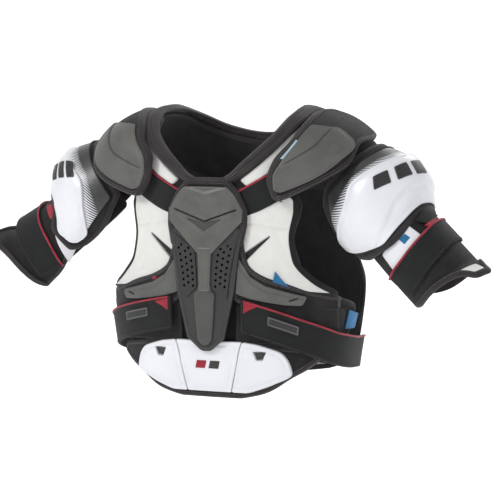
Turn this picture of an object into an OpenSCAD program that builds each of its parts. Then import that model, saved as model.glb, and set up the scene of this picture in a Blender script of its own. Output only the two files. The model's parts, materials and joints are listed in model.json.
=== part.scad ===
// Ice hockey shoulder pads: a padded vest with moulded chest, shoulder and arm armour.
// +Z is up, the chest faces -Y and the wearer's left side is +X.
// The origin is the top of the wearer's shoulders, midway between the arms.

/* [Torso] */
// Half width of the inside of the vest at the chest
chest_half_width = 210; // [180:1:240]
// Half depth of the inside of the vest at the chest
chest_half_depth = 128; // [110:1:150]
// Height of the shoulder dome above the armpit level
shoulder_rise = 130; // [110:1:150]
// Roundness exponent of the body shape, 2 is an ellipse
body_power = 2.5; // [2.2:0.1:3]

/* [Padding] */
// Thickness of the lining
lining_thick = 5; // [3:0.5:7]
// Thickness of the white foam panels
foam_thick = 9; // [6:0.5:10]
// Thickness of a moulded plate
plate_thick = 4; // [3:0.25:5]
// Thickness of an elastic strap
strap_thick = 4; // [3:0.25:5]
// Width of a torso strap
strap_width = 53; // [40:1:56]

/* [Arms] */
// Radius of the inside of the arm cuff
cuff_radius = 56; // [52:0.5:58]
// How far the left arm droops below level, in degrees
left_arm_drop = 42; // [36:1:44]
// How far the right arm droops below level, in degrees
right_arm_drop = 40; // [34:1:44]
// How far the left arm points forward, in degrees
left_arm_forward = 12; // [6:1:14]
// How far the right arm points forward, in degrees
right_arm_forward = 0; // [-8:1:14]

/* [Hidden] */
armpit_z = -116;
arm_joint = [174, -6, -81];
gap = 1.4;
cap_size = [262, 160, 153];
line_steps = 3;

// ---- Surfaces that the pieces lie on; o is the distance outside the wearer's side of the lining ----

function signed_power(v, p) = sign(v) * pow(abs(v), p);

function half_width(z) = chest_half_width
    - lookup(z, [[-500, 30], [-400, 17], [-350, 9], [-300, 2], [-200, 0], [armpit_z, 0]]);

function half_depth(z) = chest_half_depth
    - lookup(z, [[-500, 10], [-400, -2], [-250, -6], [armpit_z, 0]]);

// Round the body: a is degrees from the middle of the chest towards the left side, z is the height
wrap = function(a, z, o) [
    (half_width(z) + o) * signed_power(sin(a), 2 / body_power),
    -(half_depth(z) + o) * signed_power(cos(a), 2 / body_power),
    z
];

// On the chest: x across, z up
chest = function(x, z, o)
    let (rise = max(0, z - armpit_z) / (shoulder_rise + o))
    let (left_over = 1 - pow(abs(x) / (half_width(z) + o), body_power) - pow(rise, body_power))
    [x, -(half_depth(z) + o) * pow(max(0, left_over), 1 / body_power), z];

// On the back: x across, z up
back = function(x, z, o) let (p = chest(x, z, o)) [p[0], -p[1], p[2]];

// Where the ray at turn a and rise e from the armpit centre leaves a rounded box of the given half sizes
function rounded(a, e, s) =
    let (d = [cos(e) * sin(a), -cos(e) * cos(a), sin(e)])
    let (q = pow(abs(d[0]) / s[0], body_power) + pow(abs(d[1]) / s[1], body_power)
        + pow(max(0, d[2]) / s[2], body_power))
    [0, 0, armpit_z] + d / pow(q, 1 / body_power);

// Over the shoulders
dome = function(a, e, o)
    rounded(a, e, [chest_half_width + o, chest_half_depth + o, shoulder_rise + o]);

// The larger dome that the shoulder cap follows
cap_dome = function(a, e, o) rounded(a, e, [cap_size[0] + o, cap_size[1] + o, cap_size[2] + o]);

// Along the arm: s from the shoulder joint outwards, t degrees from its top towards the front
guard_top = [[20, 82], [46, 88], [84, 101], [115, 99], [137, 90], [162, 69], [180, 63]];
guard_side = [[20, 64], [50, 74], [90, 82], [137, 76], [165, 68], [180, 64]];
guard_under = [[20, 66], [60, 74], [90, 77], [125, 76], [165, 70], [180, 64]];
guard = function(s, t, o) [
    s,
    -(lookup(s, guard_side) + o) * sin(t),
    (lookup(s, cos(t) > 0 ? guard_top : guard_under) + o) * cos(t)
];
sleeve = function(s, t, o) [s, -(cuff_radius + o) * sin(t), (cuff_radius + o) * cos(t)];

// ---- Solids ----

function blend(p, q, k) = p + (q - p) * k;

// Rows on a surface between a left and a right edge; each row is [u, v, u, v, lift off the surface]
function grid(spot, rows, across, o) = [
    for (i = [0 : (len(rows) - 1) * line_steps])
        let (r = min(floor(i / line_steps), len(rows) - 2))
        let (w = blend(rows[r], rows[r + 1], i / line_steps - r))
        let (lift = is_undef(w[4]) ? o : o + w[4])
        [for (j = [0 : across])
            spot(blend(w[0], w[2], j / across), blend(w[1], w[3], j / across), lift)]
];

// Closed slab between an outer and an inner grid of points
module slab(outer, inner) {
    rows = len(outer);
    cols = len(outer[0]);
    count = rows * cols;
    mid_r = floor(rows / 2);
    mid_c = floor(cols / 2);
    here = outer[mid_r][mid_c];
    side = cross(outer[mid_r][mid_c - 1] - here, outer[mid_r - 1][mid_c] - here)
        * (here - inner[mid_r][mid_c]);
    at = function(i, j, under) i * cols + j + (under ? count : 0);
    skin = [
        for (i = [0 : rows - 2], j = [0 : cols - 2])
            each [
                [at(i, j, false), at(i, j + 1, false), at(i + 1, j + 1, false)],
                [at(i, j, false), at(i + 1, j + 1, false), at(i + 1, j, false)],
                [at(i, j, true), at(i + 1, j + 1, true), at(i, j + 1, true)],
                [at(i, j, true), at(i + 1, j, true), at(i + 1, j + 1, true)]
            ]
    ];
    ends = [
        for (j = [0 : cols - 2])
            each [
                [at(0, j, false), at(0, j, true), at(0, j + 1, true)],
                [at(0, j, false), at(0, j + 1, true), at(0, j + 1, false)],
                [at(rows - 1, j, false), at(rows - 1, j + 1, true), at(rows - 1, j, true)],
                [at(rows - 1, j, false), at(rows - 1, j + 1, false), at(rows - 1, j + 1, true)]
            ]
    ];
    sides = [
        for (i = [0 : rows - 2])
            each [
                [at(i, 0, false), at(i + 1, 0, true), at(i, 0, true)],
                [at(i, 0, false), at(i + 1, 0, false), at(i + 1, 0, true)],
                [at(i, cols - 1, false), at(i, cols - 1, true), at(i + 1, cols - 1, true)],
                [at(i, cols - 1, false), at(i + 1, cols - 1, true), at(i + 1, cols - 1, false)]
            ]
    ];
    faces = concat(skin, ends, sides);
    polyhedron(
        [for (r = outer) each r, for (r = inner) each r],
        side < 0 ? faces : [for (f = faces) [f[0], f[2], f[1]]],
        convexity = 6
    );
}

// A panel of even thickness that follows a body surface
module panel(spot, rows, across, low, high)
    slab(grid(spot, rows, across, high), grid(spot, rows, across, low));

module mirror_to(side) {
    if (side == "left") children();
    else mirror([1, 0, 0]) children();
}

// Puts a piece made along +X onto the arm of one side
module on_arm(side)
    mirror_to(side) translate(arm_joint)
        rotate(side == "left" ? [0, left_arm_drop, -left_arm_forward]
            : [0, right_arm_drop, -right_arm_forward])
            children();

// ---- Vest ----

module front_lining() {
    color("#1c1b1d")
        panel(wrap, [
            [-11, -99, 11, -99], [-36, -120, 36, -120], [-40, -140, 40, -140],
            [-36, -190, 36, -190], [-40, -234, 40, -234], [-56, -278, 56, -278],
            [-86, -304, 86, -304], [-80, -366, 80, -366]
        ], 14, -lining_thick, 0);
}

module back_lining() {
    color("#1c1b1d")
        panel(wrap, [
            [141, -119, 219, -119], [133, -138, 227, -138], [134, -190, 226, -190],
            [124, -236, 236, -236], [104, -280, 256, -280], [93, -316, 267, -316],
            [97, -350, 263, -350], [110, -386, 250, -386], [126, -420, 234, -420]
        ], 14, -lining_thick, 0);
}

module yoke(side) {
    color("#232124")
        mirror_to(side)
            panel(dome, [
                [15, 0, 15, 7], [26, -1, 26, 12], [36, 1, 36, 21], [46, 12, 46, 30], [60, 20, 60, 40],
                [90, 24, 90, 42], [120, 18, 120, 34], [135, 8, 135, 29], [146, -1, 146, 26],
                [179.4, -1, 179.4, 23]
            ], 4, 0.6, 5.4);
}

module collar(side) {
    color("#2b282b")
        mirror_to(side)
            panel(dome, [
                [15, 5.2, 15, 10], [22, 9, 22, 16], [40, 22, 40, 31], [60, 37, 60, 45.5, -1],
                [90, 42, 90, 49, -2], [118, 34, 118, 41, -2]
            ], 4, 8, 20);
}

module collar_back() {
    color("#2b282b")
        panel(dome, [[121, 33, 121, 41], [150, 26, 150, 34], [180, 23, 180, 31],
            [210, 26, 210, 34], [239, 33, 239, 41]], 4, 8, 18);
}

// ---- Chest ----

module chest_foam(side) {
    color("#e9e9e6")
        mirror_to(side)
            panel(chest, [
                [66, -124, 130, -130], [62, -150, 140, -146], [66, -190, 132, -190],
                [70, -222, 138, -226], [76, -246, 160, -258], [92, -262, 194, -283]
            ], 5, gap, foam_thick);
}

module clavicle_strip(side) {
    color("#f2f2f0")
        mirror_to(side)
            panel(dome, [[22, 2, 22, 6.4], [33, 10, 30, 12.8], [43, 19, 40, 20.6], [53, 27.4, 50, 28.4]],
                2, 6.4, 10);
}

module clavicle_webbing(side) {
    color("#17171a")
        mirror_to(side)
            panel(dome, [[17, -8, 21, 0.6], [33, 0, 31, 8]], 4, 6.4, 9.4);
}

module sternum_base() {
    color("#2a292b")
        panel(chest, [
            [-34, -97, 34, -97], [-52, -120, 52, -120], [-64, -150, 64, -150],
            [-58, -180, 58, -180], [-55, -230, 55, -230], [-45, -290, 45, -290],
            [-32, -342, 32, -342], [-16, -376, 16, -376]
        ], 8, 14, 18);
}

module sternum_head() {
    color("#5f605d")
        panel(chest, [
            [-32, -100, 32, -100], [-48, -122, 48, -122], [-58, -148, 58, -148],
            [-50, -164, 50, -164], [-6, -184, 6, -184]
        ], 6, 18.4, 18.4 + plate_thick);
}

module sternum_keel() {
    color("#6a6b68")
        panel(chest, [
            [-9, -192, 9, -192], [-22, -200, 22, -200], [-11, -216, 11, -216],
            [-9, -272, 9, -272]
        ], 4, 18.4, 20 + plate_thick);
}

module sternum_insert() {
    color("#626360")
        panel(chest, [[-14, -274, 14, -274], [-14, -300, 14, -300], [-7, -368, 7, -368]],
            4, 18.4, 18.4 + plate_thick);
}

module sternum_vent(side) {
    color("#4a4b4a")
        mirror_to(side)
            panel(chest, [[26, -194, 40, -188], [14, -218, 44, -218], [14, -262, 40, -262],
                [20, -290, 32, -290]], 3, 18.4, 21);
}

module rib_wing(side) {
    color("#5f605d")
        mirror_to(side)
            panel(chest, [[50, -224, 50, -286], [62, -243, 64, -292], [90, -266, 90, -292],
                [122, -283, 118, -292]], 4, 10, 10 + plate_thick - 0.6);
}

module loop_panel(side) {
    color("#1a1a1c")
        mirror_to(side)
            panel(wrap, [[9, -294, 9, -362], [30, -296, 30, -362], [54, -300, 54, -364],
                [72, -306, 72, -364]], 4, gap, 4.6);
}

// ---- Belly ----

module belly_base() {
    color("#1c1b1d")
        panel(chest, [
            [-120, -370, 120, -370], [-167, -382, 167, -382], [-136, -412, 136, -412],
            [-84, -440, 84, -440], [-58, -451, 58, -451]
        ], 10, -1, 4);
}

module belly_shell_center() {
    color("#eceeee")
        panel(chest, [[-52, -368, 52, -368], [-46, -396, 46, -396], [-36, -444, 36, -444]],
            6, 4.4, 9);
}

module belly_shell(side) {
    color("#eceeee")
        mirror_to(side)
            panel(chest, [[53, -368, 98, -368], [47, -396, 130, -398], [43, -414, 112, -418],
                [37, -442, 64, -440]], 5, 4.4, 9);
}

// ---- Torso straps ----

function strap_top(a) = -286 - (a - 11) * 0.75;

strap_lift = [[11, 15], [30, 14], [54, 10], [76, 6], [96, 2], [112, 1]];

module torso_strap(side) {
    color("#161618")
        mirror_to(side)
            panel(wrap, [
                for (a = [11 : 14.4 : 112])
                    [a, strap_top(a), a, strap_top(a) - strap_width, lookup(a, strap_lift)]
            ], 4, 0, strap_thick);
}

module strap_tab(side) {
    color("#3a3a3c")
        mirror_to(side)
            panel(wrap, [
                for (a = [22 : 8 : 38])
                    [a, strap_top(a) - 12, a, strap_top(a) - 28, lookup(a, strap_lift)]
            ], 2, strap_thick + 0.4, strap_thick + 2.4);
}

// ---- Back ----

module spine_plate_upper() {
    color("#5f605d")
        panel(back, [[-34, -70, 34, -70], [-46, -100, 46, -100], [-38, -160, 38, -160],
            [-32, -204, 32, -204]], 6, 14, 19);
}

module spine_plate_lower() {
    color("#5f605d")
        panel(back, [[-32, -210, 32, -210], [-38, -260, 38, -260], [-26, -330, 26, -330]],
            6, 14, 19);
}

module shoulder_blade_pad(side) {
    color("#e9e9e6")
        mirror_to(side)
            panel(back, [[14, -66, 96, -66], [12, -100, 130, -100], [12, -150, 138, -150],
                [12, -190, 130, -190], [12, -226, 136, -226]], 5, 7.6, 13);
}

module kidney_pad(side) {
    color("#e9e9e6")
        mirror_to(side)
            panel(back, [[12, -234, 140, -234], [12, -270, 170, -276], [12, -332, 172, -332]],
                5, gap, 11);
}

module lower_back_pad() {
    color("#e9e9e6")
        panel(back, [[-150, -340, 150, -340], [-158, -380, 158, -380], [-130, -424, 130, -424],
            [-60, -440, 60, -440]], 10, gap + 0.8, 11.6);
}

// ---- Shoulder caps ----

module cap_pad(side) {
    color("#242224")
        mirror_to(side)
            panel(cap_dome, [
                [38, -6, 44, -7], [31, 6, 58, 1], [40, 17, 70, 10.5], [50, 27, 80, 19],
                [62, 35, 94, 19.5], [80, 39, 106, 24], [95, 39, 106, 34]
            ], 6, -11, -4.6);
}

module cap_shell(side) {
    color("#5f605d")
        mirror_to(side)
            panel(cap_dome, [
                [39, -3, 43, -4], [34, 7, 56, 3], [43, 18, 68, 12], [53, 28, 77, 20.5],
                [61, 31, 76, 27]
            ], 6, -3.2, 0);
}

// ---- Arms ----

module deltoid_flap(side) {
    color("#242224")
        on_arm(side)
            panel(sleeve, [[16, -96, 16, 80], [34, -100, 34, 100], [54, -100, 54, 100]], 12, 1, 4);
}

module arm_lining(side) {
    color("#2a282b")
        on_arm(side)
            panel(sleeve, [
                [92, -130, 92, 124], [130, -150, 130, 140], [184, -150, 184, 146],
                [234, -150, 234, 146], [250, -120, 250, 130], [262, -34, 262, 84, 4],
                [302, 2, 302, 48, 19]
            ], 16, 0, 5);
}

module bicep_core(side) {
    color("#2a282b")
        on_arm(side)
            panel(guard, [
                [50, -90, 42, 122], [70, -96, 66, 132], [100, -96, 98, 144],
                [130, -94, 128, 142], [154, -88, 150, 112]
            ], 14, -10, -5.4);
}

module bicep_shell(side) {
    color("#eceef2")
        on_arm(side)
            panel(guard, [
                [76, -86, 60, 110], [98, -90, 92, 128], [128, -88, 126, 134],
                [152, -80, 150, 104]
            ], 14, -4, 0);
}

module shoulder_panel(side) {
    color("#3c3c3e")
        on_arm(side)
            panel(guard, [[50, -84, 42, 116], [74, -86, 58, 110]], 14, -4, 0);
}

module arm_strap(side) {
    color("#161618")
        on_arm(side)
            panel(sleeve, [[184, -36, 184, 142], [228, -36, 228, 132]], 12, 5.6, 5.6 + strap_thick);
}

module arm_strap_tab(side) {
    color("#b31f34")
        on_arm(side)
            panel(sleeve, [[176, 28, 176, 44], [206, 30, 206, 40]], 2, 10, 12);
}

front_lining();
back_lining();
yoke("left");  // yoke_left
yoke("right");  // yoke_right
collar("left");  // collar_left
collar("right");  // collar_right
collar_back();
chest_foam("left");  // chest_foam_left
chest_foam("right");  // chest_foam_right
clavicle_strip("left");  // clavicle_strip_left
clavicle_strip("right");  // clavicle_strip_right
clavicle_webbing("left");  // clavicle_webbing_left
clavicle_webbing("right");  // clavicle_webbing_right
sternum_base();
sternum_head();
sternum_keel();
sternum_insert();
sternum_vent("left");  // sternum_vent_left
sternum_vent("right");  // sternum_vent_right
rib_wing("left");  // rib_wing_left
rib_wing("right");  // rib_wing_right
loop_panel("left");  // loop_panel_left
loop_panel("right");  // loop_panel_right
belly_base();
belly_shell_center();
belly_shell("left");  // belly_shell_left
belly_shell("right");  // belly_shell_right
torso_strap("left");  // torso_strap_left
torso_strap("right");  // torso_strap_right
strap_tab("left");  // strap_tab_left
strap_tab("right");  // strap_tab_right
spine_plate_upper();
spine_plate_lower();
shoulder_blade_pad("left");  // shoulder_blade_pad_left
shoulder_blade_pad("right");  // shoulder_blade_pad_right
kidney_pad("left");  // kidney_pad_left
kidney_pad("right");  // kidney_pad_right
lower_back_pad();
cap_pad("left");  // cap_pad_left
cap_pad("right");  // cap_pad_right
cap_shell("left");  // cap_shell_left
cap_shell("right");  // cap_shell_right
deltoid_flap("left");  // deltoid_flap_left
deltoid_flap("right");  // deltoid_flap_right
arm_lining("left");  // arm_lining_left
arm_lining("right");  // arm_lining_right
bicep_core("left");  // bicep_core_left
bicep_core("right");  // bicep_core_right
bicep_shell("left");  // bicep_shell_left
bicep_shell("right");  // bicep_shell_right
shoulder_panel("left");  // shoulder_panel_left
shoulder_panel("right");  // shoulder_panel_right
arm_strap("left");  // arm_strap_left
arm_strap("right");  // arm_strap_right
arm_strap_tab("left");  // arm_strap_tab_left
arm_strap_tab("right");  // arm_strap_tab_right
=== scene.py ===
"""Looks of the ice hockey shoulder pads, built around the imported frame. Pieces are in millimetres."""

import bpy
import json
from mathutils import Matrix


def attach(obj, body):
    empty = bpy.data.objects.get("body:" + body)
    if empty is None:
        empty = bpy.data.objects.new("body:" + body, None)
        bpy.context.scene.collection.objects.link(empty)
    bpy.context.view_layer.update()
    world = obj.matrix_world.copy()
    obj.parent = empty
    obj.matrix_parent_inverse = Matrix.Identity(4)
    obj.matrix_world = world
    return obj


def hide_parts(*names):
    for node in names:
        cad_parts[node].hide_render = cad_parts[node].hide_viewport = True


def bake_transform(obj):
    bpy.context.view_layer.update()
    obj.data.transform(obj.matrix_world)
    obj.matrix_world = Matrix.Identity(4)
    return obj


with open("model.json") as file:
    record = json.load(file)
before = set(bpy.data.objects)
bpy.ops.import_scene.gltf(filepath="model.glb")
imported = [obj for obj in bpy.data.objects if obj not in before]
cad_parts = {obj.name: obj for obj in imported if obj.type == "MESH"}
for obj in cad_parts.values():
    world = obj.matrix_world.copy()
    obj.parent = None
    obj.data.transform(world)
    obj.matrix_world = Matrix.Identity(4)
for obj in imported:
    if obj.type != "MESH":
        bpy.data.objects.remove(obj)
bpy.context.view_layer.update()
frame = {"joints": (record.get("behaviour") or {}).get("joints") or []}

import json
import math

import bpy
import numpy as np
from mathutils import Vector
from mathutils.kdtree import KDTree

MM = 0.001
SIDES = {"left": 1, "right": -1}

# ---- Camera, light and floor ----

VIEW_AZIMUTH = math.radians(22)
VIEW_ELEVATION = math.radians(5)
VIEW_DISTANCE = 3.2
VIEW_LENS = 139.64
VIEW_TARGET = Vector((0.0212, -0.0123, -0.2212))
LIGHT_TARGET = Vector((0, 0, -0.2))
FLOOR_Z = -0.62
FLOOR_HALF = 9.0
BACKDROP_Y = 2.5
BACKDROP_BEND = 1.5
BACKDROP_TOP = 7.0


def add_object(name, data):
    thing = bpy.data.objects.new(name, data)
    bpy.context.scene.collection.objects.link(thing)
    return thing


def make_camera():
    back = Vector((
        math.sin(VIEW_AZIMUTH) * math.cos(VIEW_ELEVATION),
        -math.cos(VIEW_AZIMUTH) * math.cos(VIEW_ELEVATION),
        math.sin(VIEW_ELEVATION),
    ))
    camera = add_object("camera", bpy.data.cameras.new("camera"))
    camera.data.lens = VIEW_LENS
    camera.data.sensor_width = 36
    camera.data.clip_end = 40
    camera.location = VIEW_TARGET + back * VIEW_DISTANCE
    camera.rotation_euler = (-back).to_track_quat("-Z", "Y").to_euler()
    bpy.context.scene.camera = camera


def make_light(name, place, size, power):
    light = bpy.data.lights.new(name, "AREA")
    light.shape = "DISK"
    light.size = size
    light.energy = power
    lamp = add_object(name, light)
    lamp.location = place
    lamp.rotation_euler = (LIGHT_TARGET - Vector(place)).to_track_quat("-Z", "Y").to_euler()


def make_studio():
    scene = bpy.context.scene
    scene.view_settings.view_transform = "Standard"
    world = bpy.data.worlds.new("studio")
    world.use_nodes = True
    sky = world.node_tree.nodes["Background"]
    sky.inputs["Color"].default_value = (1, 1, 1, 1)
    sky.inputs["Strength"].default_value = 0.62
    scene.world = world
    make_light("key", (-1.4, -2.4, 1.7), 0.9, 43)
    make_light("fill", (2.4, -1.6, 0.7), 1.6, 7)
    make_light("rim", (0.6, 2.4, 1.9), 1.4, 22)
    bend = BACKDROP_BEND
    profile = [(-FLOOR_HALF, 0.0), (BACKDROP_Y, 0.0)]
    profile += [
        (BACKDROP_Y + bend * math.sin(k), bend - bend * math.cos(k)) for k in np.radians(np.arange(6, 91, 6))
    ]
    profile.append((BACKDROP_Y + bend, BACKDROP_TOP))
    points = [(side * FLOOR_HALF, y, FLOOR_Z + z) for y, z in profile for side in (-1, 1)]
    faces = [(2 * k, 2 * k + 1, 2 * k + 3, 2 * k + 2) for k in range(len(profile) - 1)]
    floor = bpy.data.meshes.new("floor")
    floor.from_pydata(points, [], faces)
    floor.polygons.foreach_set("use_smooth", np.ones(len(faces), bool))
    ground = add_object("floor", floor)
    material = bpy.data.materials.new("pale_floor")
    material.use_nodes = True
    shader = material.node_tree.nodes["Principled BSDF"]
    shader.inputs["Base Color"].default_value = (0.9, 0.9, 0.9, 1)
    shader.inputs["Roughness"].default_value = 0.9
    shader.inputs["Specular IOR Level"].default_value = 0.0
    shader.inputs["Emission Color"].default_value = (1, 1, 1, 1)
    shader.inputs["Emission Strength"].default_value = 0.36
    floor.materials.append(material)


# ---- Curves ----

def smooth_curve(x, y):
    """A curve through the points (x, y) that doesn't overshoot them. y may hold several columns."""
    x, y = np.asarray(x, float), np.asarray(y, float)
    columns = y.reshape(len(x), -1)
    gap = np.diff(x)
    slope = np.diff(columns, axis=0) / gap[:, None]
    tangent = np.zeros_like(columns)
    tangent[0], tangent[-1] = slope[0], slope[-1]
    for i in range(1, len(x) - 1):
        before, after = 2 * gap[i] + gap[i - 1], gap[i] + 2 * gap[i - 1]
        same = slope[i - 1] * slope[i] > 0
        low = np.where(same, slope[i - 1], 1)
        high = np.where(same, slope[i], 1)
        tangent[i] = np.where(same, (before + after) / (before / low + after / high), 0)

    def at(q):
        q = np.clip(np.asarray(q, float), x[0], x[-1])
        i = np.clip(np.searchsorted(x, q, side="right") - 1, 0, len(x) - 2)
        h = gap[i][..., None]
        t = ((q - x[i]) / gap[i])[..., None]
        value = (
            (2 * t**3 - 3 * t**2 + 1) * columns[i] + (t**3 - 2 * t**2 + t) * h * tangent[i]
            + (3 * t**2 - 2 * t**3) * columns[i + 1] + (t**3 - t**2) * h * tangent[i + 1]
        )
        return value[..., 0] if y.ndim == 1 else value

    return at


def straight_curve(x, y):
    x, y = np.asarray(x, float), np.asarray(y, float)

    def at(q):
        return np.stack([np.interp(q, x, y[:, k]) for k in range(y.shape[1])], -1)

    return at


def smoothstep(low, high, x):
    t = np.clip((x - low) / (high - low), 0, 1)
    return t * t * (3 - 2 * t)


def hump(x, width):
    """1 where x is 0, falling off on both sides."""
    return np.exp(-((x / width)**2))


def reach_along(points):
    """How far each point of a line is from its first, along the line."""
    return np.concatenate([[0], np.cumsum(np.linalg.norm(np.diff(points, axis=0), axis=1))])


def distance_to_line(x, y, points):
    """How far (x, y) is from an open line through the points."""
    best = np.full(np.shape(x), 1e9)
    for (ax, ay), (bx, by) in zip(points[:-1], points[1:]):
        dx, dy = bx - ax, by - ay
        t = np.clip(((x - ax) * dx + (y - ay) * dy) / (dx * dx + dy * dy), 0, 1)
        best = np.minimum(best, np.hypot(x - ax - t * dx, y - ay - t * dy))
    return best


# ---- Surfaces of the body and arms: o is the distance outside the wearer's side of the lining ----

ARMPIT_Z = -116
BODY_HALF = (210, 128, 130)
CAP_HALF = (262, 160, 153)
BODY_POWER = 2.5
CUFF_RADIUS = 56

width_loss = smooth_curve([-500, -400, -350, -300, -200, -116], [30, 17, 9, 2, 0, 0])
depth_loss = smooth_curve([-500, -400, -250, -116], [10, -2, -6, 0])
guard_top = smooth_curve([10, 24, 46, 84, 115, 137, 162, 180], [80, 83, 89, 102, 99, 90, 69, 63])
guard_side = smooth_curve([10, 20, 50, 90, 137, 165, 180], [63, 66, 76, 85, 79, 75, 75])
guard_under = smooth_curve([10, 60, 90, 125, 165, 180], [70, 77, 81, 81, 77, 76])


def half_width(z):
    return BODY_HALF[0] - width_loss(z)


def half_depth(z):
    return BODY_HALF[1] - depth_loss(z)


def signed_power(v, p):
    return np.sign(v) * np.abs(v)**p


def wrap(a, z, o):
    """Round the body: a is degrees from the middle of the chest towards the left side."""
    a = np.radians(a)
    wide = (half_width(z) + o) * signed_power(np.sin(a), 2 / BODY_POWER)
    deep = (half_depth(z) + o) * signed_power(np.cos(a), 2 / BODY_POWER)
    return np.stack([wide, -deep, z + 0 * wide], -1)


def chest(x, z, o):
    rise = np.maximum(0, z - ARMPIT_Z) / (BODY_HALF[2] + o)
    left_over = 1 - (np.abs(x) / (half_width(z) + o))**BODY_POWER - rise**BODY_POWER
    deep = (half_depth(z) + o) * np.maximum(0, left_over)**(1 / BODY_POWER)
    return np.stack([x + 0 * z, -deep, z + 0 * x], -1)


def back(x, z, o):
    return chest(x, z, o) * [1, -1, 1]


def rounded(a, e, half, o):
    a, e = np.radians(a), np.radians(e)
    way = [np.cos(e) * np.sin(a), -np.cos(e) * np.cos(a), np.sin(e)]
    size = (np.abs(way[0]) / (half[0] + o))**BODY_POWER + (np.abs(way[1]) / (half[1] + o))**BODY_POWER
    size = size + (np.maximum(way[2], 0) / (half[2] + o))**BODY_POWER
    return np.stack(way, -1) * (size**(-1 / BODY_POWER))[..., None] + [0, 0, ARMPIT_Z]


def dome(a, e, o):
    return rounded(a, e, BODY_HALF, o)


def cap_dome(a, e, o):
    return rounded(a, e, CAP_HALF, o)


def guard(s, t, o):
    """Along the arm: s from the shoulder joint outwards, t degrees from its top towards the front."""
    t = np.radians(t)
    high = np.where(np.cos(t) > 0, guard_top(s), guard_under(s))
    return np.stack([s + 0 * t, -(guard_side(s) + o) * np.sin(t), (high + o) * np.cos(t)], -1)


def sleeve(s, t, o):
    t = np.radians(t)
    return np.stack([s + 0 * t, -(CUFF_RADIUS + o) * np.sin(t), (CUFF_RADIUS + o) * np.cos(t)], -1)


def on_side(spot, side):
    return spot if side == "left" else lambda u, v, o: spot(u, v, o) * [-1, 1, 1]


joints = {joint["name"]: joint for joint in frame["joints"]}


def arm_turning(side):
    """The matrix that turns +X onto the left arm, or onto the right arm's mirror image."""
    way = np.array(joints["arm_turn_" + side]["axis"], float)
    way = -way * np.sign(way[2]) / np.linalg.norm(way)
    drop, forward = math.asin(-way[2]), math.atan2(-way[1], abs(way[0]))
    down = np.array([
        [math.cos(drop), 0, math.sin(drop)], [0, 1, 0], [-math.sin(drop), 0, math.cos(drop)],
    ])
    ahead = np.array([
        [math.cos(forward), math.sin(forward), 0], [-math.sin(forward), math.cos(forward), 0], [0, 0, 1],
    ])
    return ahead @ down


def on_arm(spot, side):
    """The surface spot placed on an arm."""
    turning = arm_turning(side)
    shoulder = np.array(joints["arm_raise_" + side]["pos_m"]) / MM
    flip = np.array([SIDES[side], 1, 1])
    return lambda u, v, o: shoulder + (spot(u, v, o) @ turning.T) * flip


# ---- Meshes ----

def make_mesh(name, points, faces, flat, material, paint=None, sharp_angle=40):
    """A smooth-shaded mesh. flat is each point's place across and along the piece and from its edge."""
    mesh = bpy.data.meshes.new(name)
    mesh.from_pydata((np.asarray(points) * MM).tolist(), [], [list(map(int, f)) for f in faces])
    mesh.polygons.foreach_set("use_smooth", np.ones(len(mesh.polygons), bool))
    mesh.set_sharp_from_angle(angle=math.radians(sharp_angle))
    attribute = mesh.attributes.new("flat", "FLOAT_VECTOR", "POINT")
    attribute.data.foreach_set("vector", np.asarray(flat, np.float32).ravel())
    if paint is not None:
        attribute = mesh.attributes.new("paint", "FLOAT", "POINT")
        attribute.data.foreach_set("value", np.asarray(paint, np.float32).ravel())
    mesh.materials.append(material)
    return add_object(name, mesh)


def finish_piece(piece, body, nodes=()):
    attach(piece, body)
    if nodes:
        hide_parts(*nodes)


ROUND_STEPS = (0, 0.06, 0.2, 0.4, 0.7, 1)
NO_EDGE = 5  # a distance from the edge at which a material shows no wear


def fine_steps(length, sizes, step):
    """Places along a length, close together where an edge or corner of the given sizes rounds off."""
    near = sorted({round(size * k, 3) for size in sizes for k in ROUND_STEPS})
    near = [d for d in near if d < length / 2]
    last = near[-1]
    count = max(1, int(round((length - 2 * last) / step)))
    middle = np.linspace(last, length - last, count + 1)
    places = np.array(near[:-1] + list(middle) + [length - d for d in reversed(near[:-1])])
    keep = np.concatenate([[True], np.diff(places) > 0.12])
    return places[keep]


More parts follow.
